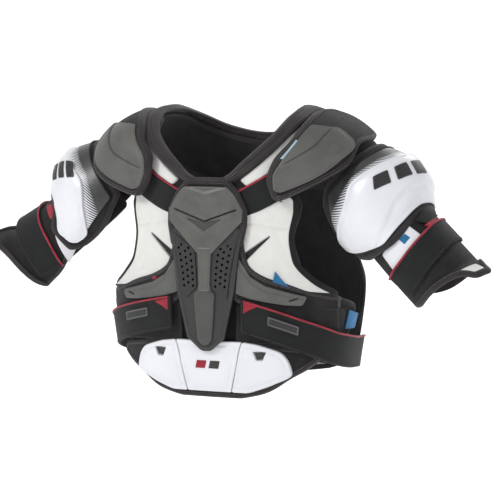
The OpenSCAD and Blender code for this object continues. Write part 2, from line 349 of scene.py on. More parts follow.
class Patch:
    """A stretch of a surface as a fine grid. rows holds rows of control points (u, v) or (u, v, lift)."""

    def __init__(self, spot, rows, step=3.0, edge=3.0, corner=8.0, smooth=True):
        rows = np.array([[tuple(p) + (0,) * (3 - len(p)) for p in row] for row in rows], float)
        self.spot = spot
        middle = rows[:, rows.shape[1] // 2] if rows.shape[1] % 2 else rows[:, [0, -1]].mean(1)
        spine = spot(middle[:, 0], middle[:, 1], middle[:, 2])
        along = reach_along(spine)
        curve = smooth_curve if smooth else straight_curve
        places = fine_steps(along[-1], (edge, corner), step)
        controls = curve(along, rows.reshape(len(rows), -1))(places).reshape(len(places), -1, 3)
        share = np.linspace(0, 1, 41)
        spread = np.array([smooth_curve(np.linspace(0, 1, rows.shape[1]), c)(share) for c in controls])
        ribs = spot(spread[..., 0], spread[..., 1], spread[..., 2])
        lengths = np.linalg.norm(np.diff(ribs, axis=1), axis=2)
        reach = np.concatenate([np.zeros((len(places), 1)), np.cumsum(lengths, axis=1)], axis=1)
        widest = reach[:, -1].max()
        across = fine_steps(widest, (edge,), step)
        ends = np.minimum(places, along[-1] - places)
        inset = corner - np.sqrt(np.maximum(0, corner**2 - np.maximum(0, corner - ends)**2))
        grid = np.zeros((len(places), len(across), 3))
        self.flat = np.zeros((len(places), len(across), 3))
        for i in range(len(places)):
            whole = reach[i, -1]
            pull = min(inset[i], 0.42 * whole)
            kept = whole - 2 * pull
            at = pull + self.squeeze(across, widest, kept, edge)
            part = np.interp(at, reach[i], share)
            grid[i] = smooth_curve(np.linspace(0, 1, rows.shape[1]), controls[i])(part)
            self.flat[i, :, 0] = at - whole / 2
            self.flat[i, :, 1] = places[i]
        self.u, self.v, self.lift = grid[..., 0], grid[..., 1], grid[..., 2]
        self.base = spot(self.u, self.v, self.lift)
        self.find_edge()

    @staticmethod
    def squeeze(across, widest, kept, edge):
        """Fits the places across the widest row to a row of another length, keeping those near its ends."""
        if kept >= widest - 1e-6:
            return across
        near = min(edge, kept * 0.3)
        from_end = np.minimum(across, widest - across)
        inner = near + (from_end - edge) * (kept / 2 - near) / max(widest / 2 - edge, 1e-6)
        placed = np.where(from_end <= edge, from_end * near / edge, inner)
        return np.where(across <= widest / 2, placed, kept - placed)

    def loop(self):
        """The index pairs of the outline, once round."""
        n, m = self.u.shape
        pairs = [(0, j) for j in range(m)] + [(i, m - 1) for i in range(1, n)]
        pairs += [(n - 1, j) for j in range(m - 2, -1, -1)] + [(i, 0) for i in range(n - 2, 0, -1)]
        return tuple(np.array(pairs).T)

    def find_edge(self):
        rim = self.base[self.loop()]
        after = np.roll(rim, -1, axis=0)
        way = after - rim
        size = np.maximum((way**2).sum(1), 1e-9)
        points = self.base.reshape(-1, 3)
        best = np.full(len(points), 1e9)
        for k in range(len(rim)):
            t = np.clip(((points - rim[k]) @ way[k]) / size[k], 0, 1)
            best = np.minimum(best, np.linalg.norm(points - rim[k] - t[:, None] * way[k], axis=1))
        self.flat[..., 2] = best.reshape(self.u.shape)

    def outline(self, inset):
        """The outline's (u, v, lift) moved inwards by inset millimetres, or outwards if it is negative."""
        pairs = self.loop()
        u, v, lift = self.u[pairs], self.v[pairs], self.lift[pairs]
        rim = self.base[pairs]
        step = 0.25
        du = (self.spot(u + step, v, lift) - self.spot(u - step, v, lift)) / (2 * step)
        dv = (self.spot(u, v + step, lift) - self.spot(u, v - step, lift)) / (2 * step)
        normal = np.cross(du, dv)
        normal /= np.linalg.norm(normal, axis=1)[:, None]
        way = np.roll(rim, -1, axis=0) - np.roll(rim, 1, axis=0)
        way /= np.linalg.norm(way, axis=1)[:, None] + 1e-12
        inward = np.cross(normal, way)
        inward *= np.sign((inward * (self.base.reshape(-1, 3).mean(0) - rim)).sum())
        uu, uv, vv = (du * du).sum(1), (du * dv).sum(1), (dv * dv).sum(1)
        bu, bv = (du * inward).sum(1), (dv * inward).sum(1)
        size = uu * vv - uv * uv
        across, down = (vv * bu - uv * bv) / size, (uu * bv - uv * bu) / size
        return u + across * inset, v + down * inset, lift


def quarter(x):
    return np.sqrt(np.maximum(0, 1 - (1 - np.clip(x, 0, 1))**2))


def grid_faces(n, m, start=0, turned=False):
    i, j = np.meshgrid(np.arange(n - 1), np.arange(m - 1), indexing="ij")
    a = (start + i * m + j).ravel()
    quads = np.stack([a, a + 1, a + m + 1, a + m], 1)
    return quads[:, ::-1] if turned else quads


class Slab:
    """A piece laid on a patch: its inner side is low off the patch, and its outer side is top() off it."""

    def __init__(self, patch, low, high, edge=3.0, rim=0.4, crown=0.0, relief=None):
        self.patch, self.low, self.high = patch, low, high
        self.edge, self.rim, self.crown, self.relief = edge, rim, crown, relief

    def top(self, distance):
        swell = self.crown * (1 - np.exp(-((np.maximum(distance, 0) / 16)**1.5)))
        share = self.rim + (1 - self.rim) * quarter(distance / self.edge)
        return self.low + (self.high - self.low) * share + swell

    def build(self, name, material, paint=None, sharp_angle=40):
        patch = self.patch
        n, m = patch.u.shape
        distance = patch.flat[..., 2]
        top = self.top(distance) + patch.lift
        if self.relief is not None:
            top = top + self.relief(patch.u, patch.v, distance)
        low = self.low + patch.lift
        outer = patch.spot(patch.u, patch.v, top)
        inner = patch.spot(patch.u, patch.v, low)
        k = (n // 2, m // 2)
        facing = np.cross(outer[k[0], k[1] + 1] - outer[k], outer[k[0] + 1, k[1]] - outer[k])
        turned = facing @ (outer[k] - inner[k]) < 0
        count = n * m
        faces = [grid_faces(n, m, 0, turned), grid_faces(n, m, count, not turned)]
        pairs = patch.loop()
        rim = pairs[0] * m + pairs[1]
        after = np.roll(rim, -1)
        wall = np.stack([rim, rim + count, after + count, after], 1)
        faces.append(wall[:, ::-1] if turned else wall)
        flat = np.concatenate([patch.flat.reshape(-1, 3)] * 2)
        shade = None
        if paint is not None:
            shade = np.concatenate([paint(patch.u, patch.v, distance).ravel(), np.zeros(count)])
        return make_mesh(
            name, np.concatenate([outer.reshape(-1, 3), inner.reshape(-1, 3)]), np.concatenate(faces),
            flat, material, shade, sharp_angle,
        )


def ribbon_along(name, points, normals, section, material):
    """Sweeps a section, a list of (sideways, outwards), along points with outward normals."""
    ahead = np.roll(points, -1, axis=0) - np.roll(points, 1, axis=0)
    ahead[0], ahead[-1] = points[1] - points[0], points[-1] - points[-2]
    ahead /= np.linalg.norm(ahead, axis=1)[:, None] + 1e-12
    sideways = np.cross(ahead, normals)
    sideways /= np.linalg.norm(sideways, axis=1)[:, None] + 1e-12
    upright = np.cross(sideways, ahead)
    rings = np.array([points + sideways * a + upright * b for a, b in section]).transpose(1, 0, 2)
    return rings_mesh(name, rings, material, closed=False)


def rings_mesh(name, rings, material, closed=True):
    """A tube through rings of points. An open one is capped at both ends."""
    count, sides = rings.shape[:2]
    flat = np.zeros((count, sides, 3))
    flat[..., 0], flat[..., 1] = reach_along(rings[0])[None, :], reach_along(rings.mean(1))[:, None]
    flat[..., 2] = NO_EDGE
    last = count if closed else count - 1
    i, j = np.meshgrid(np.arange(last), np.arange(sides), indexing="ij")
    i, j = i.ravel(), j.ravel()
    after, beside = (i + 1) % count, (j + 1) % sides
    corners = [i * sides + j, i * sides + beside, after * sides + beside, after * sides + j]
    faces = np.stack(corners, 1).tolist()
    if not closed:
        faces += [list(range(sides))[::-1], [(count - 1) * sides + k for k in range(sides)]]
    points = rings.reshape(-1, 3)
    quads = [points[f] for f in faces if len(f) == 4]
    if sum(a @ np.cross(b, c) + a @ np.cross(c, d) for a, b, c, d in quads) < 0:
        faces = [f[::-1] for f in faces]
    return make_mesh(name, points, faces, flat.reshape(-1, 3), material, sharp_angle=50)


def outward(spot, u, v, o):
    way = spot(u, v, o + 1) - spot(u, v, o - 1)
    return way / np.linalg.norm(way, axis=-1)[..., None]


def binding(name, slab, width, material, proud=0.9, out=1.3):
    """A tape folded over the whole edge of a slab."""
    patch = slab.patch
    reach = np.array([width, width * 0.92, width * 0.5, width * 0.2, 0.2, -out * 0.8, -out])
    heights = slab.top(np.maximum(reach, 0)) + proud * np.array([0.1, 0.75, 1, 1, 1.0, 0.4, -0.3])
    heights[-1] = (slab.low + slab.top(np.array(0.0))) / 2
    under = slab.low - proud * 0.6
    folded_under = [(-out * 0.8, under + 0.4), (0.2, under), (width * 0.9, under + 0.2)]
    section = list(zip(reach, heights)) + folded_under
    rings = []
    for inset, height in section:
        u, v, lift = patch.outline(inset)
        rings.append(patch.spot(u, v, height + lift))
    rings = np.array(rings).transpose(1, 0, 2)
    return rings_mesh(name, rings, material)


# ---- Stitches ----

stitch_lists = {}


def stitch_line(body, points, normals, thread, pitch=4.2, length=2.7):
    """Adds stitches along a closed line of points to the body's thread."""
    points, normals = np.vstack([points, points[:1]]), np.vstack([normals, normals[:1]])
    along = reach_along(points)
    count = int(along[-1] // pitch)
    middles = (np.arange(count) + 0.5) * along[-1] / count

    def at(q, values):
        return np.stack([np.interp(q, along, values[:, k]) for k in range(3)], -1)

    starts, ends = at(middles - length / 2, points), at(middles + length / 2, points)
    stitch_lists.setdefault((body, thread), []).append((starts, ends, at(middles, normals)))


def stitch_outline(body, slab, inset, lift, thread):
    u, v, up = slab.patch.outline(inset)
    height = slab.top(np.array(float(inset))) + lift + up
    points = slab.patch.spot(u, v, height)
    stitch_line(body, points, outward(slab.patch.spot, u, v, height), thread)


def sew_everything(materials):
    for (body, thread), lines in stitch_lists.items():
        points, faces = [], []
        for starts, ends, normals in lines:
            way = ends - starts
            side = np.cross(way, normals)
            side /= np.linalg.norm(side, axis=1)[:, None] + 1e-12
            for a, w, s, n in zip(starts, way, side, normals):
                first = len(points)
                points.append(a - 0.25 * n)
                for k in (0.2, 0.8):
                    for p, q in ((0.42, 0), (0, 0.42), (-0.42, 0), (0, -0.3)):
                        points.append(a + k * w + p * s + q * n)
                points.append(a + w - 0.25 * n)
                for k in range(4):
                    beside = (k + 1) % 4
                    faces.append((first, first + 1 + beside, first + 1 + k))
                    faces.append((first + 1 + k, first + 1 + beside, first + 5 + beside, first + 5 + k))
                    faces.append((first + 9, first + 5 + k, first + 5 + beside))
        points = np.array(points)
        flat = np.zeros((len(points), 3))
        flat[:, 2] = NO_EDGE
        name = f"stitches_{thread}_{body}"
        piece = make_mesh(name, points, faces, flat, materials[thread], sharp_angle=180)
        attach(piece, body)


# ---- Materials ----

def add(tree, kind, inputs=None, **settings):
    node = tree.nodes.new(kind)
    for key, value in settings.items():
        setattr(node, key, value)
    for key, value in (inputs or {}).items():
        if isinstance(value, bpy.types.NodeSocket):
            tree.links.new(value, node.inputs[key])
        else:
            node.inputs[key].default_value = value
    return node


def math_node(tree, operation, *values):
    node = add(tree, "ShaderNodeMath", operation=operation)
    for k, value in enumerate(values):
        if isinstance(value, bpy.types.NodeSocket):
            tree.links.new(value, node.inputs[k])
        else:
            node.inputs[k].default_value = value
    return node.outputs[0]


def ramp(tree, value, low, high, at_low=0.0, at_high=1.0):
    node = add(tree, "ShaderNodeMapRange", interpolation_type="SMOOTHSTEP")
    tree.links.new(value, node.inputs["Value"])
    for key, number in (("From Min", low), ("From Max", high), ("To Min", at_low), ("To Max", at_high)):
        node.inputs[key].default_value = number
    return node.outputs[0]


def mix(tree, factor, a, b):
    node = add(tree, "ShaderNodeMix", data_type="RGBA")
    for socket, value in ((node.inputs[0], factor), (node.inputs[6], a), (node.inputs[7], b)):
        if isinstance(value, bpy.types.NodeSocket):
            tree.links.new(value, socket)
        elif isinstance(value, float):
            socket.default_value = value
        else:
            socket.default_value = (*value, 1)
    return node.outputs[2]


class Look:
    """A material in the making: its shader, and the place on the piece in millimetres."""

    def __init__(self, name, rough, **settings):
        self.material = bpy.data.materials.new(name)
        self.material.use_nodes = True
        self.tree = self.material.node_tree
        self.shader = self.tree.nodes["Principled BSDF"]
        self.shader.inputs["Roughness"].default_value = rough
        for key, value in settings.items():
            self.shader.inputs[key.replace("_", " ")].default_value = value
        place = add(self.tree, "ShaderNodeAttribute", attribute_name="flat", attribute_type="GEOMETRY")
        self.place = place.outputs["Vector"]
        parts = add(self.tree, "ShaderNodeSeparateXYZ", {"Vector": self.place})
        self.across, self.along, self.edge = parts.outputs

    def paint(self):
        node = add(self.tree, "ShaderNodeAttribute", attribute_name="paint", attribute_type="GEOMETRY")
        return node.outputs["Fac"]

    def noise(self, size, detail=3.0, rough=0.55, where=None):
        """Noise from 0 to 1, with features of the given size in millimetres."""
        where = self.place if where is None else where
        node = add(self.tree, "ShaderNodeTexNoise", {
            "Vector": where, "Scale": 1 / size, "Detail": detail, "Roughness": rough})
        return node.outputs["Fac"]

    def wave(self, value, pitch):
        turned = math_node(self.tree, "MULTIPLY", value, 2 * math.pi / pitch)
        return math_node(self.tree, "SINE", turned)

    def colour(self, value):
        if isinstance(value, bpy.types.NodeSocket):
            self.tree.links.new(value, self.shader.inputs["Base Color"])
        else:
            self.shader.inputs["Base Color"].default_value = (*value, 1)

    def roughness(self, value):
        self.tree.links.new(value, self.shader.inputs["Roughness"])

    def bump(self, *layers):
        """Each layer is a height from 0 to 1 and its depth in millimetres."""
        normal = None
        for height, depth in layers:
            inputs = {"Height": height, "Strength": 1.0, "Distance": depth * MM}
            node = add(self.tree, "ShaderNodeBump", inputs)
            if normal is not None:
                self.tree.links.new(normal, node.inputs["Normal"])
            normal = node.outputs["Normal"]
        self.tree.links.new(normal, self.shader.inputs["Normal"])


def darker(colour, factor):
    return tuple(c * factor for c in colour)


def mottled(tree, cloud, colour, low, high):
    """The colour times low to high, following a cloud of noise."""
    return mix(tree, ramp(tree, cloud, 0.3, 0.7), darker(colour, low), darker(colour, high))


def knit(name, colour, pitch, depth, rough, sheen):
    """Knitted or woven cloth over foam."""
    look = Look(name, rough, Sheen_Weight=sheen, Sheen_Roughness=0.45, Specular_IOR_Level=0.3)
    tree = look.tree
    diagonal = math_node(tree, "ADD", look.across, look.along)
    other = math_node(tree, "SUBTRACT", look.across, look.along)
    weave = math_node(tree, "MULTIPLY", look.wave(diagonal, pitch * 1.41), look.wave(other, pitch * 1.41))
    fluff = look.noise(0.6, 2.0)
    patches = look.noise(26, 3.0)
    tone = mottled(tree, patches, colour, 0.65, 1.245)
    tone = mix(tree, ramp(tree, weave, -1.0, 0.6, 0.35, 0.0), tone, darker(colour, 0.45))
    tone = mix(tree, ramp(tree, look.edge, 0.0, 2.5, 0.22, 0.0), tone, darker(colour, 1.9))
    look.colour(tone)
    look.bump((patches, 1.1), (weave, depth), (fluff, depth * 0.6))
    return look.material


def moulded(name, colour, rough=0.42, wear=0.25, recess=(0.006, 0.006, 0.007)):
    """Satin moulded plastic with a fine grain and rubbed edges; where paint is set it takes the recess
    colour, by default near-black painted shade in slits, creases and holes.
    """
    look = Look(name, rough, Specular_IOR_Level=0.45, Coat_Weight=0.06, Coat_Roughness=0.35)
    tree = look.tree
    cloud = look.noise(34, 4.0, 0.6)
    fine = look.noise(0.5, 2.0)
    scuffs = look.noise(7, 6.0, 0.7)
    tone = mottled(tree, cloud, colour, 0.86, 1.14)
    tone = mix(tree, ramp(tree, scuffs, 0.56, 0.72, 0.0, 0.22), tone, darker(colour, 1.45))
    tone = mix(tree, ramp(tree, look.edge, 0.0, 2.2, wear, 0.0), tone, darker(colour, 1.9))
    # Where paint is set the recess colour shows: near-black painted shade on the plates, a light frame on
    # the label.
    tone = mix(tree, look.paint(), tone, recess)
    look.colour(tone)
    look.roughness(ramp(tree, cloud, 0.3, 0.7, rough - 0.05, rough + 0.08))
    look.bump((cloud, 0.5), (fine, 0.07))
    return look.material


def laminate(name, colour):
    """Smooth white sheet laminated over foam."""
    look = Look(name, 0.34, Specular_IOR_Level=0.5, Coat_Weight=0.25, Coat_Roughness=0.28)
    tree = look.tree
    cloud = look.noise(40, 3.0)
    pores = look.noise(0.9, 2.0)
    dust = look.noise(5, 6.0, 0.7)
    tone = mottled(tree, cloud, colour, 0.95, 1)
    tone = mix(tree, ramp(tree, dust, 0.58, 0.75, 0.0, 0.16), tone, darker(colour, 0.8))
    tone = mix(tree, ramp(tree, look.edge, 0.0, 3.0, 0.28, 0.0), tone, darker(colour, 0.72))
    tone = mix(tree, look.paint(), tone, (0.010, 0.010, 0.011))
    look.colour(tone)
    look.bump((cloud, 1.2), (pores, 0.05))
    return look.material


def foam(name, colour):
    """Off-white foam panel with a fine pressed mesh, and near-black painted shade where paint is set."""
    look = Look(name, 0.62, Specular_IOR_Level=0.35, Sheen_Weight=0.12, Sheen_Roughness=0.5)
    tree = look.tree
    cells = math_node(tree, "MULTIPLY", look.wave(look.across, 1.9), look.wave(look.along, 1.9))
    cloud = look.noise(22, 3.0)
    dust = look.noise(4, 6.0, 0.7)
    tone = mottled(tree, cloud, colour, 0.93, 1)
    tone = mix(tree, ramp(tree, cells, 0.1, 0.9, 0.0, 0.16), tone, darker(colour, 0.72))
    tone = mix(tree, ramp(tree, dust, 0.58, 0.74, 0.0, 0.2), tone, darker(colour, 0.78))
    tone = mix(tree, ramp(tree, look.edge, 0.0, 3.5, 0.3, 0.0), tone, darker(colour, 0.7))
    # Painted shade, near-black, where paint is set: the slit in the chest foam.
    tone = mix(tree, look.paint(), tone, (0.012, 0.012, 0.013))
    look.colour(tone)
    look.bump((cloud, 1.3), (cells, 0.10))
    return look.material


def webbing(name, colour, rib, rough, sheen=0.08):
    """Ribbed elastic: the ribs run along the strap."""
    look = Look(name, rough, Sheen_Weight=sheen, Sheen_Roughness=0.4, Specular_IOR_Level=0.3)
    tree = look.tree
    ribs = math_node(tree, "MULTIPLY", look.wave(look.across, rib), 0.75)
    cross = math_node(tree, "MULTIPLY", look.wave(look.along, 0.9), 0.25)
    both = math_node(tree, "ADD", ribs, cross)
    cloud = look.noise(30, 3.0)
    fluff = look.noise(0.7, 2.0)
    tone = mottled(tree, cloud, colour, 0.75, 1.25)
    tone = mix(tree, ramp(tree, both, -1.0, 0.8, 0.45, 0.0), tone, darker(colour, 0.35))
    tone = mix(tree, ramp(tree, fluff, 0.55, 0.8, 0.0, 0.25), tone, darker(colour, 2.2))
    look.colour(tone)
    look.bump((cloud, 0.8), (both, 0.24), (fluff, 0.08))
    return look.material


def pile(name, colour):
    """Brushed loop cloth that a hook strap grips."""
    look = Look(name, 0.95, Sheen_Weight=0.15, Sheen_Roughness=0.6, Specular_IOR_Level=0.15)
    tree = look.tree
    loops = look.noise(0.8, 4.0, 0.7)
    nap = look.noise(9, 4.0, 0.6)
    tone = mottled(tree, nap, colour, 0.7, 1.4)
    tone = mix(tree, ramp(tree, loops, 0.4, 0.7, 0.0, 0.5), tone, darker(colour, 2.4))
    look.colour(tone)
    look.bump((nap, 0.6), (loops, 0.45))
    return look.material


def hatched(name, dark, light, pitch):
    """Printed diagonal lines that widen from dark to white; paint says how white it is."""
    look = Look(name, 0.38, Specular_IOR_Level=0.5, Coat_Weight=0.2, Coat_Roughness=0.3)
    tree = look.tree
    slanted = math_node(tree, "ADD", look.across, math_node(tree, "MULTIPLY", look.along, 0.9))
    lines = look.wave(slanted, pitch)
    fade = look.paint()
    level = math_node(tree, "ADD", math_node(tree, "MULTIPLY", fade, 3.6), -2.7)
    shown = ramp(tree, math_node(tree, "ADD", lines, level), -0.12, 0.12)
    cloud = look.noise(30, 3.0)
    ink = mottled(tree, cloud, dark, 0.8, 1.2)
    tone = mix(tree, shown, ink, light)
    tone = mix(tree, ramp(tree, fade, 0.8, 1.0, 0.0, 0.35), tone, light)
    look.colour(tone)
    look.bump((cloud, 0.8), (look.noise(0.8, 2.0), 0.06))
    return look.material


def thread(name, colour):
    look = Look(name, 0.7, Sheen_Weight=0.4, Sheen_Roughness=0.4)
    where = add(look.tree, "ShaderNodeTexCoord").outputs["Object"]
    twist = look.noise(0.0012, 2.0, where=where)
    look.colour(mix(look.tree, ramp(look.tree, twist, 0.35, 0.65), darker(colour, 0.6), darker(colour, 1.4)))
    look.bump((twist, 0.1))
    return look.material


WHITE = (0.72, 0.73, 0.77)
MATERIALS = {
    "lining": knit("black_lining", (0.0085, 0.0085, 0.0090), 1.6, 0.2, 0.88, 0.05),
    "cover": knit("brushed_cover", (0.0165, 0.0145, 0.0152), 1.0, 0.18, 0.75, 0.08),
    "roll": knit("collar_cover", (0.036, 0.030, 0.032), 1.0, 0.18, 0.7, 0.14),
    "tape": webbing("binding_tape", (0.030, 0.0245, 0.0265), 1.6, 0.66, sheen=0.12),
    "tape_dark": webbing("black_binding_tape", (0.011, 0.010, 0.0105), 1.6, 0.66, sheen=0.06),
    "elastic": webbing("black_elastic", (0.0095, 0.0105, 0.0105), 1.3, 0.72),
    "pile": pile("loop_cloth", (0.0115, 0.0115, 0.0125)),
    "grey": moulded("grey_satin_plate", (0.085, 0.085, 0.079)),
    "insert": moulded("grey_satin_insert", (0.056, 0.056, 0.052)),
    "dark": moulded("dark_satin_plate", (0.022, 0.022, 0.022)),
    "vent": moulded("vent_plate", (0.017, 0.0175, 0.0175)),
    "white": laminate("white_laminate", WHITE),
    "foam": foam("white_foam_panel", (0.70, 0.70, 0.675)),
    "hatch": hatched("hatched_panel", (0.034, 0.035, 0.036), WHITE, 5.2),
    "red": webbing("red_piping", (0.42, 0.016, 0.040), 1.1, 0.5, sheen=0.2),
    "blue": webbing("blue_tab", (0.020, 0.20, 0.46), 1.1, 0.55, sheen=0.2),
    "pale_blue": webbing("pale_blue_tab", (0.50, 0.72, 0.82), 1.1, 0.5, sheen=0.1),
    "label": moulded("rubber_label", (0.016, 0.017, 0.018), 0.5, wear=0.15, recess=(0.16, 0.16, 0.16)),
    "badge": moulded("black_badge", (0.020, 0.020, 0.022), 0.3, wear=0.5),
}
THREADS = {
    "dark": thread("dark_thread", (0.020, 0.018, 0.019)),
    "brown": thread("brown_thread", (0.085, 0.070, 0.074)),
}

# ---- Soft padding ----


def read_values(items, key):
    """One vector per item, as rows of an array."""
    values = np.zeros(len(items) * 3, np.float32)
    items.foreach_get(key, values)
    return values.reshape(-1, 3).astype(float)


def apply_modifier(piece, kind, **settings):
    """Applies a new modifier to a piece, which has to be the active object."""
    modifier = piece.modifiers.new(kind, kind)
    for key, value in settings.items():
        setattr(modifier, key, value)
    bpy.ops.object.modifier_apply(modifier=modifier.name)


def carry_attributes(source, target):
    """Gives each point of target the source's nearest values of flat and paint."""
    tree = KDTree(len(source.vertices))
    for k, vertex in enumerate(source.vertices):
        tree.insert(vertex.co, k)
    tree.balance()
    nearest = [tree.find(vertex.co)[1] for vertex in target.vertices]
    for name, kind, key, width in (("flat", "FLOAT_VECTOR", "vector", 3), ("paint", "FLOAT", "value", 1)):
        if name not in source.attributes:
            continue
        values = np.zeros(len(source.vertices) * width, np.float32)
        source.attributes[name].data.foreach_get(key, values)
        values = values.reshape(-1, width)[nearest]
        attribute = target.attributes.get(name) or target.attributes.new(name, kind, "POINT")
        attribute.data.foreach_set(key, values.ravel())


CLOTH_PRESSURE = 4.0
CLOTH_FRAMES = 16


def inflate(piece, seams, voxel, most):
    """Swells a padded piece by at most so much with a short cloth simulation, and applies the result."""
    scene = bpy.context.scene
    source = piece.data.copy()
    for other in bpy.context.selected_objects:
        other.select_set(False)
    bpy.context.view_layer.objects.active = piece
    piece.select_set(True)
    apply_modifier(piece, "REMESH", mode="VOXEL", voxel_size=voxel * MM)
    before = read_values(piece.data.vertices, "co")
    cloth = piece.modifiers.new("cloth", "CLOTH")
    cloth.settings.use_pressure = True
    cloth.settings.uniform_pressure_force = CLOTH_PRESSURE
    cloth.settings.effector_weights.gravity = 0
    cloth.settings.quality = 4
    cloth.settings.mass = 0.3
    cloth.settings.tension_stiffness = 15
    cloth.settings.compression_stiffness = 15
    cloth.settings.bending_stiffness = 0.5
    cloth.collision_settings.use_collision = False
    cloth.point_cache.frame_start = 1
    cloth.point_cache.frame_end = CLOTH_FRAMES
    for step in range(1, CLOTH_FRAMES + 1):
        scene.frame_set(step)
    bpy.ops.object.modifier_apply(modifier="cloth")
    moved = read_values(piece.data.vertices, "co") - before
    size = np.linalg.norm(moved, axis=1)[:, None] + 1e-12
    kept = before + moved * np.minimum(1, most * MM / size)
    scene.frame_set(1)
    piece.data.vertices.foreach_set("co", kept.astype(np.float32).ravel())
    apply_modifier(piece, "SUBSURF", levels=1, render_levels=1)
    piece.select_set(False)
    mesh = piece.data
    carry_attributes(source, mesh)
    depth = seams(read_values(mesh.attributes["flat"].data, "vector"))
    normals = read_values(mesh.vertices, "normal")
    points = read_values(mesh.vertices, "co") - normals * (depth * MM)[:, None]
    mesh.vertices.foreach_set("co", points.astype(np.float32).ravel())
    mesh.polygons.foreach_set("use_smooth", np.ones(len(mesh.polygons), bool))
    mesh.update()


# ---- Pieces ----

def panel(
    name, body, look, spot, rows, low, high, nodes=(), step=3.0, corner=8.0, edge=3.0, rim=0.4,
    crown=0.0, relief=None, paint=None, tape=None, tape_width=9.0, tape_out=1.3, stitches=(),
    thread="brown", smooth=True, puff=None, holes=(),
):
    """A panel from low to high off a surface, which may stand for CAD nodes, with its tape and stitches.

    rim, crown and relief shape its outer side, paint is its painted share, puff swells it
    with a cloth simulation, and holes are cut through it."""
    slab = Slab(Patch(spot, rows, step, edge, corner, smooth), low, high, edge, rim, crown, relief)
    piece = slab.build(name, MATERIALS[look], paint)
    if puff:
        inflate(piece, **puff)
    if holes:
        cut_holes(piece, slab, holes)
    finish_piece(piece, body, nodes)
    if tape:
        edging = binding(name + "_binding", slab, tape_width, MATERIALS[tape], out=tape_out)
        finish_piece(edging, body)
    for inset in stitches:
        stitch_outline(body, slab, inset, 1.1 if tape and inset < tape_width else 0.3, thread)


def mark(name, body, look, spot, rows, low, high, corner, edge):
    """A small flat coloured patch with straight sides."""
    panel(name, body, look, spot, rows, low, high, (), 1.5, corner, edge, smooth=False)


PIPING_STEP = 2.5


def piping(name, body, look, spot, points, o, radius):
    """A round cord on a surface, o off it, through control points (u, v)."""
    points = np.array(points, float)
    along = reach_along(spot(points[:, 0], points[:, 1], o))
    count = max(6, int(along[-1] / PIPING_STEP))
    u, v = smooth_curve(along, points)(np.linspace(0, along[-1], count)).T
    section = [(radius * math.cos(k), radius * math.sin(k)) for k in np.radians(np.arange(0, 360, 36))]
    piece = ribbon_along(name, spot(u, v, o), outward(spot, u, v, o), section, MATERIALS[look])
    finish_piece(piece, body)


def cut_holes(piece, slab, holes):
    """Cuts round holes, each (u, v, radius), right through a panel."""
    points, faces = [], []
    spot = slab.patch.spot
    for u, v, radius in holes:
        at = spot(np.array(u), np.array(v), slab.low)
        normal = outward(spot, np.array(u), np.array(v), slab.low)
        side = np.cross(normal, [0, 0, 1.0])
        side /= np.linalg.norm(side)
        up = np.cross(normal, side)
        first, sides, spare = len(points), 14, 4
        for depth in (-spare, slab.high - slab.low + spare):
            for k in range(sides):
                angle = 2 * math.pi * k / sides
                points.append(at + normal * depth + radius * (side * math.cos(angle) + up * math.sin(angle)))
        for k in range(sides):
            beside = (k + 1) % sides
            faces.append((first + k, first + beside, first + sides + beside, first + sides + k))
        faces.append([first + k for k in reversed(range(sides))])
        faces.append([first + sides + k for k in range(sides)])
    mesh = bpy.data.meshes.new("cutter")
    mesh.from_pydata((np.array(points) * MM).tolist(), [], faces)
    cutter = add_object("cutter", mesh)
    source = piece.data.copy()
    bpy.context.view_layer.objects.active = piece
    piece.select_set(True)
    apply_modifier(piece, "BOOLEAN", operation="DIFFERENCE", solver="EXACT", object=cutter)
    piece.select_set(False)
    bpy.data.objects.remove(cutter)
    carry_attributes(source, piece.data)
    piece.data.set_sharp_from_angle(angle=math.radians(40))


def bar(u0, v0, u1, v1, lift=0.0):
    """A row of two control points."""
    return [(u0, v0, lift), (u1, v1, lift)]


def wide(half, z):
    """A row right across the middle."""
    return [(-half, z, 0), (half, z, 0)]


def height_of_line(u, points):
    x, y = zip(*sorted(points))
    return np.interp(u, x, y)


# ---- Torso: linings and collars ----

def make_linings():
    panel(
        "front_lining_cloth", "torso", "lining", wrap,
        [wide(11, -99), wide(36, -120), wide(40, -140), wide(36, -190), wide(40, -234), wide(56, -278),
         wide(86, -304), wide(80, -366)],
        -5, 0, ["front_lining"], step=5, corner=16, tape="tape_dark",
    )
    panel(
        "back_lining_cloth", "torso", "lining", wrap,
        [bar(141, -119, 219, -119), bar(133, -138, 227, -138), bar(134, -190, 226, -190),
         bar(124, -236, 236, -236), bar(104, -280, 256, -280), bar(98, -316, 262, -316),
         bar(104, -350, 256, -350), bar(113, -386, 247, -386), bar(126, -420, 234, -420)],
        -5, 0, ["back_lining"], step=5, corner=16, tape="tape_dark",
    )


def collar_seams(flat):
    """The depth in millimetres of the two seams that run along a collar."""
    across, edge = flat[:, 0], flat[:, 2]
    depth = np.zeros(len(flat))
    for place in (-4.5, 6.5):
        depth += 1.8 * hump(across - place, 1.3) * smoothstep(5, 12, edge)
    return depth


